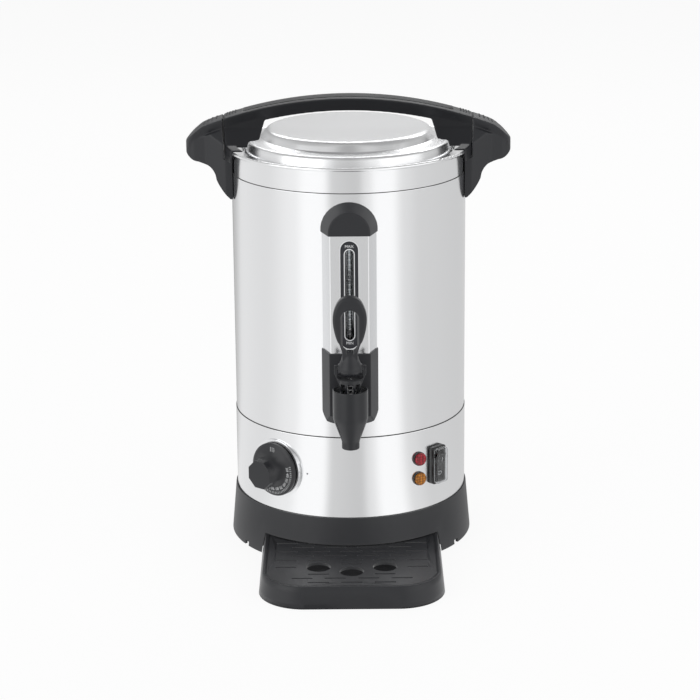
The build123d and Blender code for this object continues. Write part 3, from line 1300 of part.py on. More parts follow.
def side_outline():
    """Right side handle seen from the front."""
    top_z = arch_z + 2
    nose_x = reach_x(GRIP_NOSE)
    nose_z = arch_centre_z + math.sqrt((ARCH_R + 1) ** 2 - nose_x ** 2)
    shoulder = (reach_x(GRIP_SHOULDER[0]), rim_z + GRIP_SHOULDER[1])
    end_top = (grip_reach, rim_z + GRIP_END[0])
    end_low = (grip_reach, rim_z - GRIP_END[1])
    under = [(reach_x(share), rim_z - drop) for share, drop in GRIP_UNDERSIDE]
    heel = (BODY_R + SLIP / 2, shoulder_z - BRACKET_DROP)
    back_x = BODY_R - 5
    lines = [
        Line((back_x, top_z), (nose_x, top_z)),
        Line((nose_x, top_z), (nose_x, nose_z)),
        ThreePointArc((nose_x, nose_z), shoulder, end_top),
        Line(end_top, end_low),
        ThreePointArc(end_low, under[0], under[1]),
        Line(under[1], under[2]),
        ThreePointArc(under[2], under[3], under[4]),
        ThreePointArc(under[4], under[5], heel),
        Line(heel, (back_x, heel[1])),
        Line((back_x, heel[1]), (back_x, top_z)),
    ]
    return make_face(Wire([line.edge() for line in lines]))


def side_plan():
    """Plan of the side handle: wide beside the body, slim at the grip."""
    back_x = BODY_R - 8
    half = BRACKET_HALF
    root = (reach_x(0.116), half)
    waist = (reach_x(0.279), WEB_HALF + 8)
    neck = (reach_x(0.558), WEB_HALF + 1.5)
    end = (reach_x(0.814), WEB_HALF)
    lines = [
        Line((back_x, -half), (root[0], -half)),
        ThreePointArc((root[0], -root[1]), (waist[0], -waist[1]), (neck[0], -neck[1])),
        Line((neck[0], -neck[1]), (end[0], -end[1])),
        ThreePointArc((end[0], -end[1]), (grip_reach + 1, 0), end),
        Line(end, neck),
        ThreePointArc(neck, waist, root),
        Line(root, (back_x, half)),
        Line((back_x, half), (back_x, -half)),
    ]
    return make_face(Wire([line.edge() for line in lines]))


def bar_nose_plan():
    """Plan of the bar's rounded end on a side handle."""
    back_x = BODY_R - 8
    start_x = reach_x(0.628)
    half = BAR_HALF + 1
    lines = [
        Line((back_x, -half), (start_x, -half)),
        ThreePointArc((start_x, -half), (grip_reach + 0.5, 0), (start_x, half)),
        Line((start_x, half), (back_x, half)),
        Line((back_x, half), (back_x, -half)),
    ]
    return make_face(Wire([line.edge() for line in lines]))


def side_handle(side, gap):
    outline = front_view(side_outline(), 2 * BRACKET_HALF)
    shelf_z = foot_z - SHELF_GAP
    lower = extrude(side_plan(), shelf_z + 2)
    upper = extrude(side_plan(), arch_z) & web_wedge(arch_z)
    grip = (lower + upper) & outline & under_bar(0.5)
    bar = arch_bar(arch_angle(lid_end_r - 20), arch_angle(grip_reach + 6))
    bar = bar & outline & extrude(bar_nose_plan(), arch_z + 10)
    handle = grip + bar
    face_r = lid_end_r + gap
    handle -= disc(BODY_R + SLIP, 0, shelf_z + 1)
    handle -= disc(face_r, shelf_z, arch_z + 10)
    if side < 0:
        handle = mirrored(handle)
        pocket = pipe(face_r - 2, face_r + POCKET_DEPTH, shelf_z, foot_z + LATCH_H + SHELF_GAP)
        handle -= pocket & block((-face_r - 10, -web_start), (-FOOT_HALF, -WEB_LOW_HALF + 5),
                                 (0, arch_z))
    for z in handle_screw_heights():
        handle -= outward_rod(HANDLE_SCREW_R + SNUG, BODY_R - 5, BODY_R + HANDLE_SCREW_L, side * 90, z)
    return handle


def handle_screws():
    seats = (tank_r - SKIN - 0.1, band_r - SKIN - 0.1)
    screws = []
    for azimuth in (-90, 90):
        for z, seat in zip(handle_screw_heights(), seats):
            head = outward_rod(HANDLE_HEAD_R, seat - HANDLE_HEAD_T, seat, azimuth, z)
            shank = outward_rod(HANDLE_SCREW_R, seat, BODY_R + HANDLE_SCREW_L - 1, azimuth, z)
            screws.append(head + shank)
    return Compound(screws)


def handle_spacers():
    z = handle_screw_heights()[0]
    spacers = []
    for azimuth in (-90, 90):
        ring = outward_rod(5, tank_r - 4, BODY_R + 2, azimuth, z)
        ring -= outward_rod(HANDLE_SCREW_R + SNUG, tank_r - 5, BODY_R + 3, azimuth, z)
        ring = ring & body_core(BODY_R - SKIN - SNUG)
        spacers.append(ring - body_core(tank_r + SNUG))
    return Compound(spacers)


# ---- write the parts ------------------------------------------------------------------
PARTS = {
    "base_skirt": base_skirt,
    "rubber_feet": rubber_feet,
    "bottom_cover": bottom_cover,
    "cover_screws": cover_screws,
    "tie_rod": tie_rod,
    "tie_nut": tie_nut,
    "cutout_body": cutout_body,
    "reset_button": reset_button,
    "drip_tray": drip_tray,
    "drip_grate": drip_grate,
    "lower_housing": lower_housing,
    "outer_shell": outer_shell,
    "inner_tank": inner_tank,
    "rim_ring": rim_ring,
    "heater_plate": heater_plate,
    "heating_element": heating_element,
    "capillary_bulb": capillary_bulb,
    "knob_bezel": knob_bezel,
    "thermostat_body": thermostat_body,
    "thermostat_screws": thermostat_screws,
    "thermostat_shaft": thermostat_shaft,
    "thermostat_knob": thermostat_knob,
    "red_lamp_body": lambda: lamp_body(1),
    "red_lamp_lens": lambda: lamp_lens(1),
    "amber_lamp_body": lambda: lamp_body(-1),
    "amber_lamp_lens": lambda: lamp_lens(-1),
    "switch_body": switch_body,
    "switch_rocker": switch_rocker,
    "switch_cover": switch_cover,
    "mains_inlet": mains_inlet,
    "inlet_pins": inlet_pins,
    "inlet_screws": inlet_screws,
    "gauge_cover": gauge_cover,
    "gauge_label": gauge_label,
    "sight_tube": sight_tube,
    "tube_seals": tube_seals,
    "gauge_cap": gauge_cap,
    "column_screws": column_screws,
    "tap_shroud": tap_shroud,
    "gauge_elbow": gauge_elbow,
    "tap_body": tap_body,
    "tap_washer": tap_washer,
    "tap_nut": tap_nut,
    "tap_bonnet": tap_bonnet,
    "lever_pin": lever_pin,
    "tap_lever": tap_lever,
    "tap_stem": tap_stem,
    "seat_cup": seat_cup,
    "tap_spring": tap_spring,
    "lid_shell": lid_shell,
    "lid_gasket": lid_gasket,
    "lid_handle": lid_handle,
    "grip_inlay": grip_inlay,
    "lid_screws": lid_screws,
    "left_side_handle": lambda: side_handle(-1, LEFT_GAP),
    "right_side_handle": lambda: side_handle(1, RIGHT_GAP),
    "handle_screws": handle_screws,
    "handle_spacers": handle_spacers,
}

os.makedirs("parts", exist_ok=True)
for name, make in PARTS.items():
    export_step(make(), f"parts/{name}.step")
print("wrote", len(PARTS), "parts")
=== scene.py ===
# %% [markdown]
# # A hot water urn
# An upright steel urn with a black base, a drip tray, a lever tap under a sight gauge, a dial, two
# lamps, a rocker switch and a lid with an arched handle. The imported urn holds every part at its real
# size. Here each part gets its finish, and the small details that only the eye needs are added.

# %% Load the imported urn
import json
import math

import bmesh
import bpy
from mathutils import Matrix, Vector
from mathutils.bvhtree import BVHTree


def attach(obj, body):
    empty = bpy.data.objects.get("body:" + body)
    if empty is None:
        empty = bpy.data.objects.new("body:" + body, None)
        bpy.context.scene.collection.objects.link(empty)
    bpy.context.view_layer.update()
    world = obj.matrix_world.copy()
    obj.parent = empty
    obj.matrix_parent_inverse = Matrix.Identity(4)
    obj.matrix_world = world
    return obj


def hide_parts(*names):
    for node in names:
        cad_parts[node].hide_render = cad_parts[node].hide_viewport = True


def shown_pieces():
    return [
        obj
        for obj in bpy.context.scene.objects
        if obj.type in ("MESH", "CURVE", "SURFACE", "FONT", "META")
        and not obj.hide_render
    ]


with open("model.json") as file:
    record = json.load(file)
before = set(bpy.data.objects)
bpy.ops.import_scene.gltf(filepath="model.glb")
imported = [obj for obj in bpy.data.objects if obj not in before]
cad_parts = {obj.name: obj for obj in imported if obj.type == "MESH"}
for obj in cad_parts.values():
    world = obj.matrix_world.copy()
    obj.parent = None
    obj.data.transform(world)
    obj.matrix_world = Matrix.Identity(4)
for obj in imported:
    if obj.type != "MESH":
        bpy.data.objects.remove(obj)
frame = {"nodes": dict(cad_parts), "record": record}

nodes = frame["nodes"]
bodies = frame["record"]["behaviour"]["bodies"]
home = {node: body for body, members in bodies.items() for node in members}
slots = {entry["node"]: entry["material_slot"] for entry in frame["record"]["subparts"]}
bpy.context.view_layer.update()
print("nodes:", len(nodes), "bodies:", len(bodies))

# %% [markdown]
# ## Directions on a round body
# The dial and the switch look straight out of the round housing, each at its own azimuth. A matrix for
# each one lets a detail be drawn flat, with X to the right, Y up and Z outwards, and then set in its place.
# The matrix goes into the mesh, so every object stays at the origin.

# %% Facing frames
KNOB_AZIMUTH = -39.0
SWITCH_AZIMUTH = 46.3
CONTROL_HEIGHT = 0.091


def outward(azimuth):
    angle = math.radians(azimuth)
    return Vector((math.sin(angle), -math.cos(angle), 0))


def facing(azimuth, distance, height):
    out = outward(azimuth)
    right = Vector((-out.y, out.x, 0))
    up = Vector((0, 0, 1))
    turn = Matrix((right, up, out)).transposed().to_4x4()
    return Matrix.Translation(out * distance + up * height) @ turn


print("knob looks towards", [round(value, 3) for value in outward(KNOB_AZIMUTH)])

# %% [markdown]
# ## Nodes with names
# A material is a small network. The first helpers add a node, give its sockets their values and join two
# sockets. The next ones each build a step that many materials share: a sum, a change of range, a noise, a
# bump. So each material below reads as a list of what it does. A number that is the same all over a
# surface is set on the shader itself.

# %% Network helpers


def add(tree, kind, at=(0, 0), **settings):
    node = tree.nodes.new(kind)
    node.location = at
    for name, value in settings.items():
        setattr(node, name, value)
    return node


def put(node, **values):
    for name, value in values.items():
        node.inputs[name.replace("_", " ")].default_value = value
    return node


def join(tree, source, target):
    tree.links.new(source, target)


def ramp(tree, source, stops, at=(0, 0), interpolation="LINEAR"):
    node = add(tree, "ShaderNodeValToRGB", at)
    node.color_ramp.interpolation = interpolation
    while len(node.color_ramp.elements) < len(stops):
        node.color_ramp.elements.new(0.5)
    for element, (position, shade) in zip(node.color_ramp.elements, stops):
        element.position = position
        element.color = (shade, shade, shade, 1)
    join(tree, source, node.inputs["Fac"])
    return node


def worked_out(tree, operation, first, second, at):
    node = add(tree, "ShaderNodeMath", at, operation=operation)
    for value, socket in zip((first, second), node.inputs):
        if isinstance(value, float):
            socket.default_value = value
        else:
            join(tree, value, socket)
    return node.outputs[0]


def mapped(tree, source, at=(0, 0), **limits):
    node = put(add(tree, "ShaderNodeMapRange", at), **limits)
    join(tree, source, node.inputs["Value"])
    return node.outputs["Result"]


def noise(tree, place, at, scale=None, **values):
    node = put(add(tree, "ShaderNodeTexNoise", at), **values)
    join(tree, place, node.inputs["Vector"])
    if scale:
        join(tree, scale, node.inputs["Scale"])
    return node.outputs["Fac"]


def bumped(tree, height, shader, at, **values):
    node = put(add(tree, "ShaderNodeBump", at), **values)
    join(tree, height, node.inputs["Height"])
    join(tree, node.outputs["Normal"], shader.inputs["Normal"])


def new_group(name, inputs, outputs):
    tree = bpy.data.node_groups.new(name, "ShaderNodeTree")
    for label, value in inputs.items():
        socket = tree.interface.new_socket(label, in_out="INPUT", socket_type="NodeSocketFloat")
        socket.default_value = value
    for label in outputs:
        tree.interface.new_socket(label, in_out="OUTPUT", socket_type="NodeSocketFloat")
    return tree, add(tree, "NodeGroupInput", (-900, 0)), add(tree, "NodeGroupOutput", (600, 0))


print("helpers ready")

# %% [markdown]
# ## Effects that several finishes share
# Moulded plastic has a fine spark-eroded grain, sheet steel has a drawn grain, and both pick up a little
# dust and handling. Each effect is one node group with its sizes as inputs, so that the handle and the
# base can share it with different values.

# %% Moulded grain


def make_moulded_grain():
    tree, inside, outside = new_group("Moulded grain", {"Grain": 900.0, "Patches": 18.0},
                                      ["Height", "Sheen"])
    place = add(tree, "ShaderNodeTexCoord", (-900, 300)).outputs["Object"]
    grain = noise(tree, place, (-500, 200), inside.outputs["Grain"], Detail=3.0, Roughness=0.6)
    patches = noise(tree, place, (-500, -200), inside.outputs["Patches"], Detail=2.0, Roughness=0.5)
    join(tree, grain, outside.inputs["Height"])
    join(tree, patches, outside.inputs["Sheen"])
    return tree


moulded_grain = make_moulded_grain()
print(moulded_grain.name)

# %% [markdown]
# Rolled and polished sheet has fine lines that run round the body. They are a noise that changes fast with
# height and slowly with the angle. Smudges from hands are a second, broad noise.

# %% Drawn grain of rolled sheet


def make_drawn_grain():
    tree, inside, outside = new_group(
        "Drawn grain", {"Across": 700.0, "Along": 12.0, "Smudges": 9.0}, ["Height", "Smudge"])
    place = add(tree, "ShaderNodeTexCoord", (-900, 300)).outputs["Object"]
    parts = add(tree, "ShaderNodeSeparateXYZ", (-720, 300))
    join(tree, place, parts.inputs[0])
    angle = worked_out(tree, "ARCTAN2", parts.outputs["Y"], parts.outputs["X"], (-540, 380))
    around = worked_out(tree, "MULTIPLY", angle, inside.outputs["Along"], (-360, 380))
    upward = worked_out(tree, "MULTIPLY", parts.outputs["Z"], inside.outputs["Across"], (-360, 220))
    stretched = add(tree, "ShaderNodeCombineXYZ", (-180, 300))
    join(tree, around, stretched.inputs["X"])
    join(tree, upward, stretched.inputs["Y"])
    lines = noise(tree, stretched.outputs[0], (0, 300), Scale=1.0, Detail=4.0, Roughness=0.65)
    smudges = noise(tree, place, (0, -100), inside.outputs["Smudges"],
                    Detail=3.0, Roughness=0.55, Distortion=0.6)
    join(tree, lines, outside.inputs["Height"])
    join(tree, smudges, outside.inputs["Smudge"])
    return tree


drawn_grain = make_drawn_grain()
print(drawn_grain.name)

# %% [markdown]
# Dust lies only where a surface faces up, so its mask starts from the surface's own normal. Handling rubs
# outer edges paler, and pointiness finds those edges.

# %% Settled dust and rubbed edges


def make_settled_dust():
    tree, inside, outside = new_group("Settled dust", {"Amount": 0.3, "Scale": 40.0}, ["Dust"])
    shape = add(tree, "ShaderNodeNewGeometry", (-900, 300))
    parts = add(tree, "ShaderNodeSeparateXYZ", (-700, 300))
    join(tree, shape.outputs["Normal"], parts.inputs[0])
    upward = mapped(tree, parts.outputs["Z"], (-500, 300), From_Min=0.55, From_Max=1.0)
    place = add(tree, "ShaderNodeTexCoord", (-900, -100)).outputs["Object"]
    flecks = noise(tree, place, (-600, -100), inside.outputs["Scale"], Detail=6.0, Roughness=0.7)
    strength = worked_out(tree, "MULTIPLY", upward, inside.outputs["Amount"], (-200, 200))
    dust = worked_out(tree, "MULTIPLY", strength, flecks, (100, 100))
    join(tree, dust, outside.inputs["Dust"])
    return tree


def make_rubbed_edge():
    tree, inside, outside = new_group("Rubbed edge", {"From": 0.52, "To": 0.62}, ["Edge"])
    shape = add(tree, "ShaderNodeNewGeometry", (-900, 200))
    edge = add(tree, "ShaderNodeMapRange", (-500, 200))
    join(tree, shape.outputs["Pointiness"], edge.inputs["Value"])
    join(tree, inside.outputs["From"], edge.inputs["From Min"])
    join(tree, inside.outputs["To"], edge.inputs["From Max"])
    place = add(tree, "ShaderNodeTexCoord", (-900, -100)).outputs["Object"]
    worn = noise(tree, place, (-600, -100), Scale=60.0, Detail=4.0)
    mask = worked_out(tree, "MULTIPLY", edge.outputs["Result"], worn, (-100, 100))
    join(tree, mask, outside.inputs["Edge"])
    return tree


settled_dust = make_settled_dust()
rubbed_edge = make_rubbed_edge()
print(settled_dust.name, "and", rubbed_edge.name)

# %% [markdown]
# ## Finishes
# There are four families. Plastics take the moulded grain, dust and rubbed edges. Sheet steel and bright
# parts take the drawn grain. Rubber is a plastic with hardly any shine, and glass is a clear shader with a
# faint surface. A short function builds each family, and the values make the single finishes.

# %% Plastic and rubber


def shader_of(material):
    material.use_nodes = True
    tree = material.node_tree
    return tree, tree.nodes["Principled BSDF"]


def blend_colour(tree, factor, low, high, at):
    mix = add(tree, "ShaderNodeMix", at, data_type="RGBA")
    join(tree, factor, mix.inputs["Factor"])
    mix.inputs["A"].default_value = (*low, 1)
    mix.inputs["B"].default_value = (*high, 1)
    return mix.outputs["Result"]


def cover_colour(tree, factor, under, colour, at):
    mix = add(tree, "ShaderNodeMix", at, data_type="RGBA")
    mix.inputs["B"].default_value = (*colour, 1)
    join(tree, factor, mix.inputs["Factor"])
    join(tree, under, mix.inputs["A"])
    return mix.outputs["Result"]


DUST_COLOUR = (0.34, 0.34, 0.35)
PLASTIC_IOR = 1.5
PLASTIC_GRAIN_DEPTH = 0.00002


def plastic(name, colour, roughness, grain=900.0, dust=0.05, edge=0.25, gloss=0.5):
    material = bpy.data.materials.new(name)
    tree, shader = shader_of(material)
    put(shader, Specular_IOR_Level=gloss, IOR=PLASTIC_IOR)
    surface = put(add(tree, "ShaderNodeGroup", (-900, 200), node_tree=moulded_grain), Grain=grain)
    film = put(add(tree, "ShaderNodeGroup", (-900, -100), node_tree=settled_dust), Amount=dust)
    rub = add(tree, "ShaderNodeGroup", (-900, -300), node_tree=rubbed_edge)
    light = tuple(min(1.0, channel * 1.25 + 0.002) for channel in colour)
    pale = tuple(channel + 0.08 * edge for channel in colour)
    base = blend_colour(tree, surface.outputs["Sheen"], colour, light, (-600, 200))
    worn = cover_colour(tree, rub.outputs["Edge"], base, pale, (-400, 100))
    dusty = cover_colour(tree, film.outputs["Dust"], worn, DUST_COLOUR, (-200, 100))
    join(tree, dusty, shader.inputs["Base Color"])
    sheen = mapped(tree, surface.outputs["Sheen"], (-400, -150),
                   To_Min=roughness - 0.05, To_Max=roughness + 0.08)
    join(tree, sheen, shader.inputs["Roughness"])
    bumped(tree, surface.outputs["Height"], shader, (-200, -300),
           Strength=0.35, Distance=PLASTIC_GRAIN_DEPTH)
    return material


print("plastics ready")

# %% [markdown]
# A metal is told by its colour, by how sharply it mirrors and by its grain. Steel mirrors the whole room,
# so its look comes mostly from what stands round it. Plated wire, cast and drawn parts use the same
# function with other values.

# %% Steel and other metals
SHEET_GRAIN_DEPTH = 0.000004
SMUDGE = 0.03


def metal(name, colour, roughness, across=700.0, along=12.0):
    material = bpy.data.materials.new(name)
    tree, shader = shader_of(material)
    put(shader, Metallic=1.0)
    sheet = add(tree, "ShaderNodeGroup", (-900, 100), node_tree=drawn_grain)
    put(sheet, Across=across, Along=along)
    dull = tuple(channel * 0.97 for channel in colour)
    tint = blend_colour(tree, sheet.outputs["Height"], dull, colour, (-500, 200))
    join(tree, tint, shader.inputs["Base Color"])
    shine = mapped(tree, sheet.outputs["Smudge"], (-500, -50),
                   To_Min=roughness - SMUDGE, To_Max=roughness + SMUDGE)
    join(tree, shine, shader.inputs["Roughness"])
    bumped(tree, sheet.outputs["Height"], shader, (-250, -250),
           Strength=0.2, Distance=SHEET_GRAIN_DEPTH)
    return material


print("metals ready")

# %% [markdown]
# The sight tube is glass, and the rain cover and the lamps' lenses are clear plastic. A lens has small
# prisms moulded inside that scatter the light. Even cells stand for them: they bend its surface, and each
# cell's tint darkens towards its edge as painted shade of the facets.

# %% Clear and coloured glass
GLASS_IOR = 1.45
PRISM_DEPTH = 0.0006


def clear(name, colour, roughness, through=1.0, facet=0.0):
    material = bpy.data.materials.new(name)
    tree, shader = shader_of(material)
    put(shader, Transmission_Weight=through, IOR=GLASS_IOR, Metallic=0.0)
    surface = add(tree, "ShaderNodeGroup", (-900, 0), node_tree=moulded_grain)
    put(surface, Grain=260.0, Patches=60.0)
    deep = tuple(channel * 0.9 for channel in colour)
    tint = blend_colour(tree, surface.outputs["Sheen"], deep, colour, (-500, 150))
    join(tree, tint, shader.inputs["Base Color"])
    haze = mapped(tree, surface.outputs["Sheen"], (-500, -100), To_Min=roughness, To_Max=roughness + 0.06)
    join(tree, haze, shader.inputs["Roughness"])
    if facet:
        place = add(tree, "ShaderNodeTexCoord", (-900, -400))
        prisms = add(tree, "ShaderNodeTexVoronoi", (-700, -400))
        put(prisms, Scale=400.0, Randomness=0.25)
        join(tree, place.outputs["Object"], prisms.inputs["Vector"])
        # painted shade: the lens colour darkens towards each prism cell's edge, standing for light bent away
        # by the facets
        prism_shade = mapped(tree, prisms.outputs["Distance"], (-500, -250),
                        From_Min=0.1, From_Max=0.6, To_Min=1.0, To_Max=0.15)
        dark = tuple(channel * 0.2 for channel in colour)
        join(tree, blend_colour(tree, prism_shade, dark, colour, (-300, 300)), shader.inputs["Base Color"])
        bumped(tree, prisms.outputs["Distance"], shader, (-300, -350),
               Strength=facet, Distance=PRISM_DEPTH)
    return material


print("clear finishes ready")

# %% [markdown]
# The pale print on the gauge and the dial is pad-printed ink: a thin even film with a slight chalkiness.

# %% Printed ink


def ink(name, colour):
    material = bpy.data.materials.new(name)
    tree, shader = shader_of(material)
    put(shader, Specular_IOR_Level=0.3)
    surface = add(tree, "ShaderNodeGroup", (-900, 0), node_tree=moulded_grain)
    put(surface, Grain=3000.0, Patches=900.0)
    thin = tuple(channel * 0.82 for channel in colour)
    film = blend_colour(tree, surface.outputs["Sheen"], thin, colour, (-500, 150))
    join(tree, film, shader.inputs["Base Color"])
    chalk = mapped(tree, surface.outputs["Height"], (-500, -100), To_Min=0.45, To_Max=0.6)
    join(tree, chalk, shader.inputs["Roughness"])
    return material


pale_ink = ink("pale_ink", (0.86, 0.87, 0.88))
grey_ink = ink("grey_ink", (0.34, 0.35, 0.37))
print(pale_ink.name, "and", grey_ink.name)

# %% [markdown]
# Each slot of the imported urn has its finish. The lid is brushed more softly than the body, and its handle
# is the black moulding made darker and less shiny, the darker colour being painted shade, so these two have
# finishes of their own.

# %% The finishes themselves
lid_steel = metal("lid_steel", (0.88, 0.885, 0.895), 0.24)
# painted shade: the handle's black is darker than the other mouldings' to stand for the dark it mirrors and
# the shadow on it
handle_black = plastic("handle_black", (0.0070, 0.0075, 0.0095), 0.36, gloss=0.32)
finish = {
    "steel_shell": metal("sheet_steel", (0.90, 0.905, 0.915), 0.15),
    "steel_inside": metal("tank_steel", (0.78, 0.785, 0.79), 0.32),
    "steel_bright": metal("rim_steel", (0.90, 0.905, 0.915), 0.17, across=300.0),
    "zinc_steel": metal("zinc_plate", (0.62, 0.63, 0.64), 0.38, across=200.0, along=80.0),
    "stainless_rod": metal("turned_stainless", (0.74, 0.74, 0.75), 0.22, across=2500.0),
    "spring_steel": metal("spring_wire", (0.55, 0.55, 0.56), 0.3, across=900.0),
    "heater_aluminium": metal("cast_aluminium", (0.66, 0.66, 0.66), 0.5, across=90.0, along=30.0),
    "copper_bulb": metal("copper_bulb", (0.80, 0.46, 0.30), 0.3, across=900.0),
    "element_sheath": metal("element_sheath", (0.34, 0.35, 0.34), 0.5, across=600.0),
    "black_plastic": plastic("black_moulding", (0.0105, 0.0112, 0.0140), 0.40),
    "black_gloss": plastic("black_gloss_moulding", (0.0085, 0.0092, 0.0118), 0.30, dust=0.03),
    "soft_grip": plastic("soft_grip", (0.016, 0.0165, 0.018), 0.55, grain=1500.0),
    "black_rubber": plastic("black_rubber", (0.014, 0.014, 0.014), 0.7, dust=0.3),
    "silicone": plastic("pale_silicone", (0.70, 0.69, 0.65), 0.5, dust=0.0, edge=0.0),
    "scale_black": plastic("scale_black", (0.006, 0.007, 0.012), 0.3, dust=0.0),
    "switch_black": plastic("switch_black", (0.007, 0.007, 0.008), 0.22, dust=0.02),
    "thermostat_phenolic": plastic("phenolic", (0.06, 0.045, 0.035), 0.5),
    "reset_red": plastic("reset_red", (0.5, 0.03, 0.025), 0.4),
    "gauge_glass": clear("gauge_glass", (0.93, 0.95, 0.96), 0.02),
    "red_lens": clear("red_lens", (0.72, 0.035, 0.06), 0.12, through=0.25, facet=0.5),
    "amber_lens": clear("amber_lens", (0.95, 0.34, 0.025), 0.12, through=0.25, facet=0.5),
    "clear_cover": clear("clear_cover", (0.95, 0.96, 0.97), 0.06),
}
missing = sorted(set(slots.values()) - set(finish))
print("finishes:", len(finish), "missing:", missing)

# %% [markdown]
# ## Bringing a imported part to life
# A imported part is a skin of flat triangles. A copy with its doubled corners merged can be shaded smoothly,
# and it then stands for the part. Three kinds of copy are used: a plain one for crisp small parts, one with
# exact normals for the round steel and the base, and a remeshed one with softened edges for the other
# mouldings.

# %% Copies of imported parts
DOUBLES = 0.000002


def linked(name, data):
    obj = bpy.data.objects.new(name, data)
    bpy.context.scene.collection.objects.link(obj)
    return obj


def dress(obj, node, material=None):
    obj.data.materials.clear()
    obj.data.materials.append(material or finish[slots[node]])
    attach(obj, home[node])
    return obj


def merged_copy(node, name):
    mesh = nodes[node].data.copy()
    mesh.name = name
    work = bmesh.new()
    work.from_mesh(mesh)
    bmesh.ops.remove_doubles(work, verts=work.verts, dist=DOUBLES)
    work.to_mesh(mesh)
    work.free()
    return linked(name, mesh)


def plain(node, name, angle=32.0, material=None):
    obj = merged_copy(node, name)
    obj.data.shade_smooth()
    obj.data.set_sharp_from_angle(angle=math.radians(angle))
    dress(obj, node, material)
    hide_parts(node)
    return obj


print("plain copies ready")

# %% [markdown]
# A turned sheet, such as the shell, is cut into long thin triangles, and averaged normals would show every
# one of them in a polished surface. On a turned part the true normal is known: it leans outwards and
# upwards by the same amount all the way round. So each face's lean is measured, averaged with its
# neighbours in the profile, and turned to face out at each corner.

# %% Exact normals for turned parts
CREASE = math.radians(28.0)
SIDE_FACE = 0.35
TINY = 1e-6
NO_LEAN = 1e-9


def turned_normals(mesh):
    lean, tangent = [], []
    for face in mesh.polygons:
        out = Vector((face.center.x, face.center.y, 0))
        out = out.normalized() if out.length > TINY else Vector((1, 0, 0))
        lean.append(Vector((face.normal.dot(out), face.normal.z)))
        tangent.append(abs(face.normal.dot(Vector((-out.y, out.x, 0)))))
    around = {}
    for face in mesh.polygons:
        for vertex in face.vertices:
            around.setdefault(vertex, []).append(face.index)
    close = math.cos(CREASE)
    normals = []
    for face in mesh.polygons:
        own = lean[face.index]
        for vertex in face.vertices:
            place = mesh.vertices[vertex].co
            out = Vector((place.x, place.y, 0))
            if tangent[face.index] > SIDE_FACE or out.length < TINY or own.length < TINY:
                normals.append(face.normal.copy())
                continue
            total = Vector((0, 0))
            for other in around[vertex]:
                if tangent[other] <= SIDE_FACE and lean[other].dot(own) > close * own.length:
                    total += lean[other] * mesh.polygons[other].area
            total = total.normalized() if total.length > NO_LEAN else own.normalized()
            out.normalize()
            normals.append(out * total.x + Vector((0, 0, total.y)))
    mesh.shade_smooth()
    mesh.normals_split_custom_set(normals)


def turned_copy(node, name, material=None):
    obj = merged_copy(node, name)
    turned_normals(obj.data)
    dress(obj, node, material)
    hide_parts(node)
    return obj


print("turned copies ready")

# %% [markdown]
# A moulding comes out of its tool with every edge a little round. A voxel remesh turns the part into even
# small squares, and a few smoothing passes roll its edges over by about the size of a voxel.

# %% Softened mouldings


def apply_modifiers(obj):
    graph = bpy.context.evaluated_depsgraph_get()
    mesh = bpy.data.meshes.new_from_object(obj.evaluated_get(graph))
    obj.modifiers.clear()
    obj.data = mesh
    return obj


def softened(node, name, voxel, passes=4, material=None):
    obj = merged_copy(node, name)
    grid = obj.modifiers.new("Grid", "REMESH")
    grid.mode = "VOXEL"
    grid.voxel_size = voxel
    rounding = obj.modifiers.new("Rounding", "SMOOTH")
    rounding.factor = 0.5
    rounding.iterations = passes
    apply_modifiers(obj)
    obj.name = name
    obj.data.shade_smooth()
    dress(obj, node, material)
    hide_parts(node)
    return obj


print("softened copies ready")

# %% [markdown]
# ## The steel body
# The urn is a double wall: a tank with a rolled rim stands in an outer shell, and the controls sit on a
# separate band below. All are turned sheet, so they get exact normals and the same drawn steel.

# %% Shell, control band, tank and rim
for node in ("outer_shell", "lower_housing", "inner_tank", "rim_ring"):
    look = finish["steel_shell"] if node == "inner_tank" else None
    sheet = turned_copy(node, node + "_sheet", look)
    print(sheet.name, len(sheet.data.polygons), "faces")

# %% [markdown]
# ## Base, tray and grate
# The base is one black moulding with a wide skirt. The tray slides under it on the bench, and its grate is
# a flat moulding with slots and three round drains. The base is round, so it gets exact normals; the tray
# and the grate are crisp, so plain copies do. The steel above the tray should stay bright, so the two are
# kept out of its reflections.

# %% Base and tray
turned_copy("base_skirt", "base_moulding")
tray = plain("drip_tray", "tray_moulding")
grate = plain("drip_grate", "grate_moulding")
for obj in (tray, grate):
    obj.visible_glossy = False

# %% [markdown]
# ## Handles
# The lid handle is an arch with a web at each end, and it meets a bracket on each side of the body. All
# three are softened mouldings. A soft strip is let into the top of the arch. The brushed lid under the arch
# should stay even in tone, so the arch and its strip are kept out of reflections too.

# %% Lid handle, brackets and strip
turned_copy("lid_shell", "lid_sheet", lid_steel)
arch = softened("lid_handle", "lid_handle_moulding", 0.0009, material=handle_black)
softened("left_side_handle", "left_bracket_moulding", 0.0008)
softened("right_side_handle", "right_bracket_moulding", 0.0008)
strip = plain("grip_inlay", "grip_strip")
for obj in (arch, strip):
    obj.visible_glossy = False
print("arch triangles", 2 * len(arch.data.polygons))

# %% [markdown]
# ## Gauge column
# A folded steel cover stands in front of the tank with a sight tube behind its window. A black cap closes
# its top and a black shroud carries the tap at its foot. The folded cover keeps its crisp edges, and the
# two mouldings are softened.

# %% Column pieces
plain("gauge_cover", "column_cover")
softened("gauge_cap", "column_cap", 0.0005, passes=3)
softened("tap_shroud", "column_shroud", 0.0006, passes=3)
plain("gauge_label", "scale_plate")
plain("sight_tube", "sight_tube_glass")
print("column ready")

# %% [markdown]
# ## Tap
# The lever lifts a stem against a spring, and the stem opens the seat above the spout. The lever is a
# smooth loop that ends in a bell, so it is remeshed finely. It is kept out of reflections as the arch is.

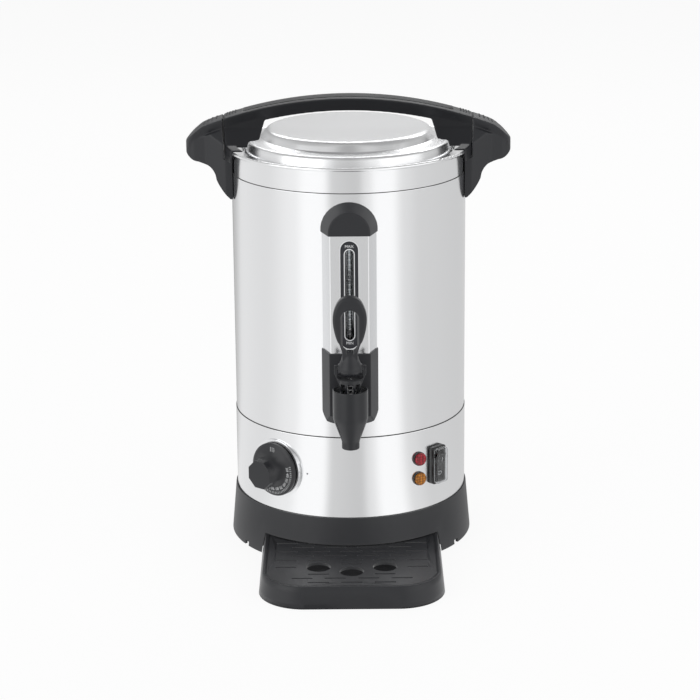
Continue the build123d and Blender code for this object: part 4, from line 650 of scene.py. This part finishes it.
# %% Tap pieces
softened("tap_body", "tap_moulding", 0.0006, passes=3)
softened("tap_bonnet", "tap_cage", 0.0004, passes=2)
lever = softened("tap_lever", "tap_lever_moulding", 0.0005, passes=5)
for node, name in (("tap_spring", "spring_coil"), ("tap_stem", "stem_rod"), ("lever_pin", "pivot_pin"),
                   ("seat_cup", "seat_seal")):
    plain(node, name)
lever.visible_glossy = False
print("lever triangles", 2 * len(lever.data.polygons))

# %% [markdown]
# ## Controls
# On the band are the dial, two lamps and a rocker switch under a clear rain cover. They are small and
# crisp, so they are plain copies, each named after its part. The dial's ring has a bright face and takes
# the rim's steel.

# %% Dial, lamps and switch
plain("thermostat_knob", "dial_knob", angle=25.0)
bezel = plain("knob_bezel", "dial_bezel", material=finish["steel_bright"])
for node in ("red_lamp_body", "red_lamp_lens", "amber_lamp_body", "amber_lamp_lens", "switch_body",
             "switch_rocker", "switch_cover", "mains_inlet"):
    plain(node, node + "_piece")
print("controls ready")

# %% [markdown]
# ## Flat details and where they go
# Print, outlines and marks are drawn flat first, a tenth of a millimetre thick, and are then moved on to
# the surface that carries them by a facing matrix. The matrix is applied to the mesh. An outline is four
# loops of points, two outside and two inside, stitched into a closed band.

# %% Flat outlines
INK_THICKNESS = 0.0001
INK_HALF_THICKNESS = 0.00004


def racetrack(width, height, steps=10):
    radius, straight = width / 2, height / 2 - width / 2
    points = []
    for step in range(steps + 1):
        angle = math.pi * step / steps
        points.append((radius * math.cos(angle), straight + radius * math.sin(angle)))
    return points + [(-x, -y) for x, y in points]


def ring_of(radius, steps=40):
    return [(radius * math.cos(2 * math.pi * step / steps), radius * math.sin(2 * math.pi * step / steps))
            for step in range(steps)]


def put_on(obj, place, body, slot, material=None):
    obj.data.transform(place)
    obj.data.materials.clear()
    obj.data.materials.append(material or finish[slot])
    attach(obj, body)
    return obj


def mesh_of(work, name):
    mesh = bpy.data.meshes.new(name)
    work.to_mesh(mesh)
    work.free()
    return mesh


def stitched(name, loops, closed=True):
    work = bmesh.new()
    rows = [[work.verts.new(point) for point in points] for points in loops]
    for low, high in zip(rows, rows[1:] + rows[:1] if closed else rows[1:]):
        for here in range(len(low)):
            there = (here + 1) % len(low)
            work.faces.new((low[here], low[there], high[there], high[here]))
    if not closed:
        work.faces.new(rows[0])
        work.faces.new(rows[-1])
    bmesh.ops.recalc_face_normals(work, faces=work.faces)
    return mesh_of(work, name)


def flat_band(name, outer, inner, thickness, place, body, slot, material):
    loops = [[(x, y, z) for x, y in points]
             for points, z in ((outer, 0), (outer, thickness), (inner, thickness), (inner, 0))]
    return put_on(linked(name, stitched(name, loops)), place, body, slot, material)


def printed(name, words, size, place, body, slot, material):
    curve = bpy.data.curves.new(name, "FONT")
    curve.body = words
    curve.size = size
    curve.align_x = "CENTER"
    curve.align_y = "CENTER"
    curve.extrude = INK_HALF_THICKNESS
    curve.resolution_u = 2
    draft = linked(name + "_draft", curve)
    graph = bpy.context.evaluated_depsgraph_get()
    mesh = bpy.data.meshes.new_from_object(draft.evaluated_get(graph))
    bpy.data.objects.remove(draft)
    mesh.name = name
    return put_on(linked(name, mesh), place, body, slot, material)


print("flat details ready")

# %% [markdown]
# ## Marks along a path
# Gauge ticks, dial ticks and the grip pips are all the same thing: a small block repeated at even steps
# along a line or an arc. One Geometry Nodes tree does this. It samples the path, sets a block on each
# sample, turns the block to follow the path, and makes the blocks real.

# %% Tree for marks along a path


def make_marks_tree():
    tree = bpy.data.node_groups.new("Marks along a path", "GeometryNodeTree")
    tree.interface.new_socket("Geometry", in_out="INPUT", socket_type="NodeSocketGeometry")
    count = tree.interface.new_socket("Count", in_out="INPUT", socket_type="NodeSocketInt")
    size = tree.interface.new_socket("Size", in_out="INPUT", socket_type="NodeSocketVector")
    look = tree.interface.new_socket("Material", in_out="INPUT", socket_type="NodeSocketMaterial")
    tree.interface.new_socket("Geometry", in_out="OUTPUT", socket_type="NodeSocketGeometry")
    inside = add(tree, "NodeGroupInput", (-900, 0))
    outside = add(tree, "NodeGroupOutput", (900, 0))
    path = add(tree, "GeometryNodeMeshToCurve", (-700, 0))
    join(tree, inside.outputs["Geometry"], path.inputs["Mesh"])
    sampled = add(tree, "GeometryNodeResampleCurve", (-500, 0))
    join(tree, path.outputs["Curve"], sampled.inputs["Curve"])
    join(tree, inside.outputs["Count"], sampled.inputs["Count"])
    spots = add(tree, "GeometryNodeCurveToPoints", (-300, 0), mode="EVALUATED")
    join(tree, sampled.outputs["Curve"], spots.inputs["Curve"])
    along = add(tree, "FunctionNodeAlignRotationToVector", (-100, -200), axis="X", pivot_axis="Z")
    join(tree, spots.outputs["Tangent"], along.inputs["Vector"])
    block = add(tree, "GeometryNodeMeshCube", (-100, -400))
    join(tree, inside.outputs["Size"], block.inputs["Size"])
    placed = add(tree, "GeometryNodeInstanceOnPoints", (150, 0))
    join(tree, spots.outputs["Points"], placed.inputs["Points"])
    join(tree, block.outputs["Mesh"], placed.inputs["Instance"])
    join(tree, along.outputs["Rotation"], placed.inputs["Rotation"])
    real = add(tree, "GeometryNodeRealizeInstances", (400, 0))
    join(tree, placed.outputs["Instances"], real.inputs["Geometry"])
    dressed = add(tree, "GeometryNodeSetMaterial", (600, 0))
    join(tree, real.outputs["Geometry"], dressed.inputs["Geometry"])
    join(tree, inside.outputs["Material"], dressed.inputs["Material"])
    join(tree, dressed.outputs["Geometry"], outside.inputs["Geometry"])
    return tree, {"Count": count.identifier, "Size": size.identifier, "Material": look.identifier}


marks_tree, marks_inputs = make_marks_tree()


def marks(name, paths, count, size, place, body, slot, material=None):
    work = bmesh.new()
    for points in paths:
        spots = [work.verts.new(point) for point in points]
        for here, there in zip(spots, spots[1:]):
            work.edges.new((here, there))
    obj = linked(name, mesh_of(work, name))
    row = obj.modifiers.new("Marks", "NODES")
    row.node_group = marks_tree
    row[marks_inputs["Count"]] = count
    row[marks_inputs["Size"]] = size
    row[marks_inputs["Material"]] = material or finish[slot]
    apply_modifiers(obj)
    obj.name = name
    print(name, len(obj.data.polygons), "faces")
    return put_on(obj, place, body, slot, material)


print("tree inputs:", marks_inputs)

# %% [markdown]
# ## Gauge print
# A pale band round the window in the steel cover is a painted highlight on its punched edge. Behind it the
# scale is black, with a pale outline round the sight slot, fine level marks beside the tube and a word at
# each end. The outlines are bands, the marks come from the tree, and the words are text made into a mesh.

# %% Outline, level marks and words
WINDOW_MIDDLE = 0.27425
COVER_FACE = 0.1295
SCALE_FACE = 0.12872
WORD_FACE = 0.12875
TUBE_FRONT = 0.12678
SIGHT_OUTSIDE, SIGHT_INSIDE = (0.0101, 0.0882), (0.0085, 0.0866)
WINDOW_OUTSIDE, WINDOW_INSIDE = (0.0178, 0.1044), (0.0166, 0.1032)
LEVEL_COUNT, LEVEL_REACH = 17, 0.038
LEVEL_MARK = (0.0003, 0.0022, INK_THICKNESS)
WORD_SIZE, WORD_RISE = 0.0038, 0.0463

flat_band("sight_outline", racetrack(*SIGHT_OUTSIDE), racetrack(*SIGHT_INSIDE), INK_THICKNESS,
          facing(0, SCALE_FACE, WINDOW_MIDDLE), "urn", "scale_black", pale_ink)
# painted highlight: pale ink round the window stands for the light caught by the cover's punched edge
flat_band("window_edge", racetrack(*WINDOW_OUTSIDE), racetrack(*WINDOW_INSIDE), 2 * INK_THICKNESS,
          facing(0, COVER_FACE, WINDOW_MIDDLE), "urn", "steel_bright", pale_ink)
marks("level_marks", [[(0, -LEVEL_REACH, 0), (0, LEVEL_REACH, 0)]], LEVEL_COUNT, LEVEL_MARK,
      facing(0, TUBE_FRONT, WINDOW_MIDDLE), "urn", "scale_black", pale_ink)
for name, words, rise in (("max_word", "MAX", WORD_RISE), ("min_word", "MIN", -WORD_RISE)):
    printed(name, words, WORD_SIZE, facing(0, WORD_FACE, WINDOW_MIDDLE + rise), "urn", "scale_black",
            pale_ink)
print("gauge print done")

# %% [markdown]
# ## Dial print
# The dial carries a ring of fine ticks and a number every ten degrees on the side that faces the pointer
# dot, and three short bars at the off position. The ticks follow an arc, so the tree sets them. Each number
# is text of its own, turned so that its foot points to the dial's middle.

# %% Ticks, numbers and pointer dot
DIAL_FACE = 0.12003
TICK_COUNT, TICK_RADIUS = 27, 0.0229
FIRST_TICK, LAST_TICK = 18, -112
DIAL_TICK = (0.0004, 0.0022, INK_THICKNESS)
BAR_RADIUS, BAR_REACH = 0.0205, 0.0022
OFF_BAR = (0.0004, 0.0044, INK_THICKNESS)
NUMBERS = ("30", "40", "50", "60", "70", "80", "90", "100")
NUMBER_SIZE, NUMBER_RADIUS = 0.0044, 0.0188
FIRST_NUMBER, NUMBER_STEP = 12, -17
DOT_AZIMUTH, HOUSING_FACE = -21.6, 0.1135


def arc_path(radius, start, end, steps=24):
    angles = [math.radians(start + (end - start) * step / steps) for step in range(steps + 1)]
    return [(radius * math.cos(angle), radius * math.sin(angle), 0) for angle in angles]


dial_face = facing(KNOB_AZIMUTH, DIAL_FACE, CONTROL_HEIGHT)
marks("dial_ticks", [arc_path(TICK_RADIUS, FIRST_TICK, LAST_TICK)], TICK_COUNT, DIAL_TICK, dial_face,
      "knob", "black_gloss", pale_ink)
marks("off_bars", [[(-BAR_REACH, BAR_RADIUS, 0), (BAR_REACH, BAR_RADIUS, 0)]], 3, OFF_BAR, dial_face,
      "knob", "black_gloss", pale_ink)
for place, number in enumerate(NUMBERS):
    turn = math.radians(FIRST_NUMBER + NUMBER_STEP * place)
    spin = Matrix.Translation((NUMBER_RADIUS * math.cos(turn), NUMBER_RADIUS * math.sin(turn), 0))
    spin = spin @ Matrix.Rotation(turn - math.pi / 2, 4, "Z")
    printed("dial_" + number, number, NUMBER_SIZE, dial_face @ spin, "knob", "black_gloss", pale_ink)
flat_band("pointer_dot", ring_of(0.0009), ring_of(0.0001), INK_THICKNESS,
          facing(DOT_AZIMUTH, HOUSING_FACE, CONTROL_HEIGHT), "urn", "scale_black", grey_ink)
print("dial print done")

# %% [markdown]
# ## Switch marks
# The rocker carries the usual bar for on near its top and ring for off near its foot. It rests tilted and
# its face is bent a little at the middle, so each mark's place is tilted and bent with it.

# %% Bar and ring on the rocker
PIVOT_DISTANCE = 0.1149
REST_TILT = 11
FACE_BEND = 3
MARK_RISE, MARK_PROUD = 0.0075, 0.0050
ON_BAR = (0.0006, 0.0044, INK_THICKNESS)


def rocker_place(side):
    tilt = Matrix.Rotation(math.radians(REST_TILT), 4, "X")
    bend = Matrix.Rotation(math.radians(side * FACE_BEND), 4, "X")
    shift = Matrix.Translation((0, side * MARK_RISE, MARK_PROUD))
    return facing(SWITCH_AZIMUTH, PIVOT_DISTANCE, CONTROL_HEIGHT) @ tilt @ bend @ shift


flat_band("off_ring", ring_of(0.0021), ring_of(0.0015), INK_THICKNESS, rocker_place(-1), "rocker",
          "switch_black", pale_ink)
marks("on_bar", [[(-0.0001, 0, 0), (0.0001, 0, 0)]], 2, ON_BAR, rocker_place(1), "rocker",
      "switch_black", pale_ink)

# %% [markdown]
# ## Pips on the grips
# Both ends of the arch and the tops of the brackets carry a few raised pips for the thumbs. Their heights
# are found by dropping a ray on to the moulding, and the same tree sets one pip on each sample.

# %% Thumb pips
PIP_ROWS = (-0.006, -0.002, 0.002, 0.006)
PIP_SIZE = (0.0013, 0.0013, 0.0007)
ABOVE_ALL = 0.6


def pip_rows(node, start, end):
    mesh = nodes[node].data
    skin = BVHTree.FromPolygons([vertex.co for vertex in mesh.vertices],
                                [tuple(face.vertices) for face in mesh.polygons])
    paths = []
    for y in PIP_ROWS:
        places = [skin.ray_cast(Vector((x, y, ABOVE_ALL)), Vector((0, 0, -1)))[0]
                  for x in (start, (start + end) / 2, end)]
        paths.append([tuple(place) for place in places])
    return paths


for node, body, side, near, far in (("lid_handle", "lid", -1, 0.108, 0.116),
                                    ("lid_handle", "lid", 1, 0.108, 0.116),
                                    ("left_side_handle", "urn", -1, 0.126, 0.138),
                                    ("right_side_handle", "urn", 1, 0.126, 0.138)):
    name = ("left" if side < 0 else "right") + ("_arch_pips" if node == "lid_handle" else "_bracket_pips")
    marks(name, pip_rows(node, side * near, side * far), 4, PIP_SIZE, Matrix.Identity(4), body,
          "black_plastic")
print("pips done")

# %% [markdown]
# ## Seams
# A dark line shows where the shell meets the control band, where the rim band meets the shell, and under
# the rim's bead: a black ring of painted shade for the shadow in each joint and under the bead. It is a thin
# ring of its own, turned about the axis.

# %% Lines of painted shade
SHADE_LINES = {"band_seal": (0.11345, 0.1294, 0.1300, 0.0006),
         "shoulder_seal": (0.11290, 0.3664, 0.3669, 0.0006),
         "bead_seal": (0.11440, 0.3876, 0.3881, 0.0015)}


# painted shade: each ring is black rubber standing for the shadow in a joint or under the bead
def shade_line(name, radius, low, high, depth, steps=160):
    profile = ((radius, low), (radius, high), (radius - depth, high), (radius - depth, low))
    loops = [[(r * math.sin(2 * math.pi * step / steps), -r * math.cos(2 * math.pi * step / steps), z)
              for step in range(steps)] for r, z in profile]
    mesh = stitched(name, loops)
    mesh.shade_smooth()
    mesh.set_sharp_from_angle(angle=math.radians(40))
    return put_on(linked(name, mesh), Matrix.Identity(4), "urn", "black_rubber")


for name, measures in SHADE_LINES.items():
    shade_line(name, *measures)
print("seams done:", len(SHADE_LINES))

# %% [markdown]
# The lid handle and the bracket beside it meet with a narrow gap, and a strip of black rubber in it is
# painted shade: it stands for the shadow inside the gap and keeps light from coming through. It is a short
# curved wall on the bracket, just clear of the handle's end. Its upright outline is set at even angles round
# the axis and stitched, this time with its two ends closed.

# %% Strip of painted shade in the left gap
STRIP_INNER, STRIP_OUTER = 0.1199, 0.12125
STRIP_LOW, STRIP_HIGH = 0.3925, 0.4175
STRIP_HALF_ANGLE = math.radians(4.6)
STRIP_STEPS = 12

outline = ((STRIP_INNER, STRIP_LOW), (STRIP_OUTER, STRIP_LOW),
           (STRIP_OUTER, STRIP_HIGH), (STRIP_INNER, STRIP_HIGH))
rows = []
for step in range(STRIP_STEPS + 1):
    angle = math.pi - STRIP_HALF_ANGLE + 2 * STRIP_HALF_ANGLE * step / STRIP_STEPS
    rows.append([(r * math.cos(angle), r * math.sin(angle), z) for r, z in outline])
# painted shade: a black strip put in the gap where there is only shadow
put_on(linked("left_gap_strip", stitched("left_gap_strip", rows, closed=False)), Matrix.Identity(4),
       "urn", "black_rubber")
print("gap closed")

# %% [markdown]
# ## Everything else
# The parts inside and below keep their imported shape, since they are hardly seen and a copy would add
# nothing. Each takes the finish of its own slot.

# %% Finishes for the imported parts
shown = [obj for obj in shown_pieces() if obj.name in nodes]
for obj in shown:
    obj.data.materials.clear()
    obj.data.materials.append(finish[slots[obj.name]])
print("packed parts shown:", len(shown))

# %% [markdown]
# ## Studio
# The urn stands on a pale floor in an even white room. Bright steel shows the room around it, so the room
# gets a soft change of brightness from one direction to the next, as white cards and gaps between them
# would give. The change is one node group that turns a direction into a brightness: each card is an azimuth
# and a shade, with the front at zero.

# %% Cards round the urn
CARDS = ((-180, 0.68), (-166, 0.40), (-152, 0.55), (-125, 0.84), (-85, 0.80), (-54, 0.92),
         (-41, 1.07), (-24, 1.08), (-15, 0.68), (8, 0.62), (16, 0.84), (27, 1.08), (40, 1.07),
         (54, 0.78), (72, 0.69), (140, 0.65), (180, 0.68))


def make_room_glow():
    tree = bpy.data.node_groups.new("Room glow", "ShaderNodeTree")
    tree.interface.new_socket("Direction", in_out="INPUT", socket_type="NodeSocketVector")
    tree.interface.new_socket("Glow", in_out="OUTPUT", socket_type="NodeSocketColor")
    inside = add(tree, "NodeGroupInput", (-900, 0))
    outside = add(tree, "NodeGroupOutput", (500, 0))
    parts = add(tree, "ShaderNodeSeparateXYZ", (-700, 0))
    join(tree, inside.outputs["Direction"], parts.inputs[0])
    front = worked_out(tree, "MULTIPLY", parts.outputs["Y"], -1.0, (-500, -100))
    angle = worked_out(tree, "ARCTAN2", parts.outputs["X"], front, (-300, 0))
    share = mapped(tree, angle, (-100, 0), From_Min=-math.pi, From_Max=math.pi)
    stops = [((azimuth + 180) / 360, shade) for azimuth, shade in CARDS]
    glow = ramp(tree, share, stops, (100, 0), "EASE")
    join(tree, glow.outputs["Color"], outside.inputs["Glow"])
    return tree


room_glow = make_room_glow()
print(room_glow.name, "with", len(CARDS), "cards")

# %% [markdown]
# The world uses that group to light the urn and to be mirrored in it, and it grows darker towards the
# ceiling, as a real room does. The camera itself sees plain white there, so the background stays clean.

# %% Soft room around the urn


def make_room():
    world = bpy.data.worlds.new("white_room")
    bpy.context.scene.world = world
    world.use_nodes = True
    tree = world.node_tree
    background = tree.nodes["Background"]
    place = add(tree, "ShaderNodeTexCoord", (-900, 0))
    glow = add(tree, "ShaderNodeGroup", (-500, 0), node_tree=room_glow)
    join(tree, place.outputs["Generated"], glow.inputs["Direction"])
    parts = add(tree, "ShaderNodeSeparateXYZ", (-700, -200))
    join(tree, place.outputs["Generated"], parts.inputs[0])
    ceiling = mapped(tree, parts.outputs["Z"], (-500, -200),
                     From_Min=0.12, From_Max=0.85, To_Min=1.0, To_Max=0.6)
    sky = add(tree, "ShaderNodeVectorMath", (-300, 0), operation="SCALE")
    join(tree, glow.outputs["Glow"], sky.inputs[0])
    join(tree, ceiling, sky.inputs["Scale"])
    path = add(tree, "ShaderNodeLightPath", (-500, 300))
    seen = cover_colour(tree, path.outputs["Is Camera Ray"], sky.outputs["Vector"], (1, 1, 1), (-100, 0))
    join(tree, seen, background.inputs["Color"])
    put(background, Strength=1.0)


make_room()
print("room ready")

# %% [markdown]
# The floor is a pale sheet that catches the urn's shadow: most of its brightness is its own, so the shadow
# stays faint. In reflections it carries the same cards as the room, because an upright wall that is seen
# from above mirrors the floor.

# %% Floor
FLOOR_RADIUS = 6.0
OWN_BRIGHTNESS = 0.9


def make_floor():
    work = bmesh.new()
    bmesh.ops.create_circle(work, cap_ends=True, segments=96, radius=FLOOR_RADIUS)
    floor = linked("floor", mesh_of(work, "floor"))
    material = bpy.data.materials.new("pale_floor")
    tree, shader = shader_of(material)
    put(shader, Base_Color=(0.9, 0.9, 0.9, 1), Roughness=0.9, Specular_IOR_Level=0.0)
    place = add(tree, "ShaderNodeTexCoord", (-900, 0))
    glow = add(tree, "ShaderNodeGroup", (-700, 0), node_tree=room_glow)
    join(tree, place.outputs["Object"], glow.inputs["Direction"])
    cards = add(tree, "ShaderNodeEmission", (-400, -100))
    join(tree, glow.outputs["Glow"], cards.inputs["Color"])
    white = add(tree, "ShaderNodeEmission", (-400, 100))
    path = add(tree, "ShaderNodeLightPath", (-900, 400))
    lit = add(tree, "ShaderNodeMixShader", (-100, 100))
    put(lit, Fac=OWN_BRIGHTNESS)
    join(tree, shader.outputs[0], lit.inputs[1])
    join(tree, white.outputs[0], lit.inputs[2])
    seen = add(tree, "ShaderNodeMixShader", (100, 0))
    join(tree, path.outputs["Is Camera Ray"], seen.inputs["Fac"])
    join(tree, cards.outputs[0], seen.inputs[1])
    join(tree, lit.outputs[0], seen.inputs[2])
    join(tree, seen.outputs[0], tree.nodes["Material Output"].inputs["Surface"])
    floor.data.materials.append(material)


make_floor()
print("floor ready")

# %% [markdown]
# Four large soft lamps shape the black mouldings: one overhead, one behind for the edges of the handles,
# and one on each side in front. They are large because a small lamp would burn a hard spot into the steel.
# The overhead lamp is kept out of reflections, or the lid would show it as a square.

# %% Lamps of the studio
AIM_HEIGHT = 0.22


def soft_box(name, place, size, power):
    light = bpy.data.lights.new(name, "AREA")
    light.shape = "RECTANGLE"
    light.size, light.size_y = size
    light.energy = power
    obj = linked(name, light)
    obj.location = place
    aim = Vector((0, 0, AIM_HEIGHT)) - Vector(place)
    obj.rotation_euler = aim.to_track_quat("-Z", "Y").to_euler()
    return obj


soft_box("overhead", (0.2, -0.4, 2.6), (2.2, 2.2), 16.0).visible_glossy = False
soft_box("from_behind", (0.2, 2.2, 2.0), (2.6, 1.0), 16.0)
soft_box("from_left", (-2.2, -1.6, 1.2), (2.4, 2.4), 16.0)
soft_box("from_right", (2.3, -1.2, 1.0), (2.4, 2.4), 10.0)

# %% [markdown]
# The camera stands over two metres away with a long lens, so the upright lines of the body stay almost
# parallel. It looks down by its pitch, and is turned about its own line of sight by its roll.

# %% Camera
LENS = 120.6
PITCH = math.radians(16.69)
ROLL = math.radians(-0.466)
CAMERA_PLACE = (0, -2.2218, 0.8489)


def make_camera():
    camera = bpy.data.cameras.new("camera")
    camera.sensor_width = 36.0
    camera.lens = LENS
    forward = Vector((0, math.cos(PITCH), -math.sin(PITCH)))
    right = Vector((1, 0, 0))
    up = right.cross(forward)
    across = right * math.cos(ROLL) + up * math.sin(ROLL)
    above = up * math.cos(ROLL) - right * math.sin(ROLL)
    turn = Matrix((across, above, -forward)).transposed().to_4x4()
    obj = linked("camera", camera)
    obj.matrix_world = Matrix.Translation(CAMERA_PLACE) @ turn
    bpy.context.scene.camera = obj


make_camera()
bpy.context.scene.view_settings.view_transform = "Standard"
print("lens", bpy.context.scene.camera.data.lens, "mm")
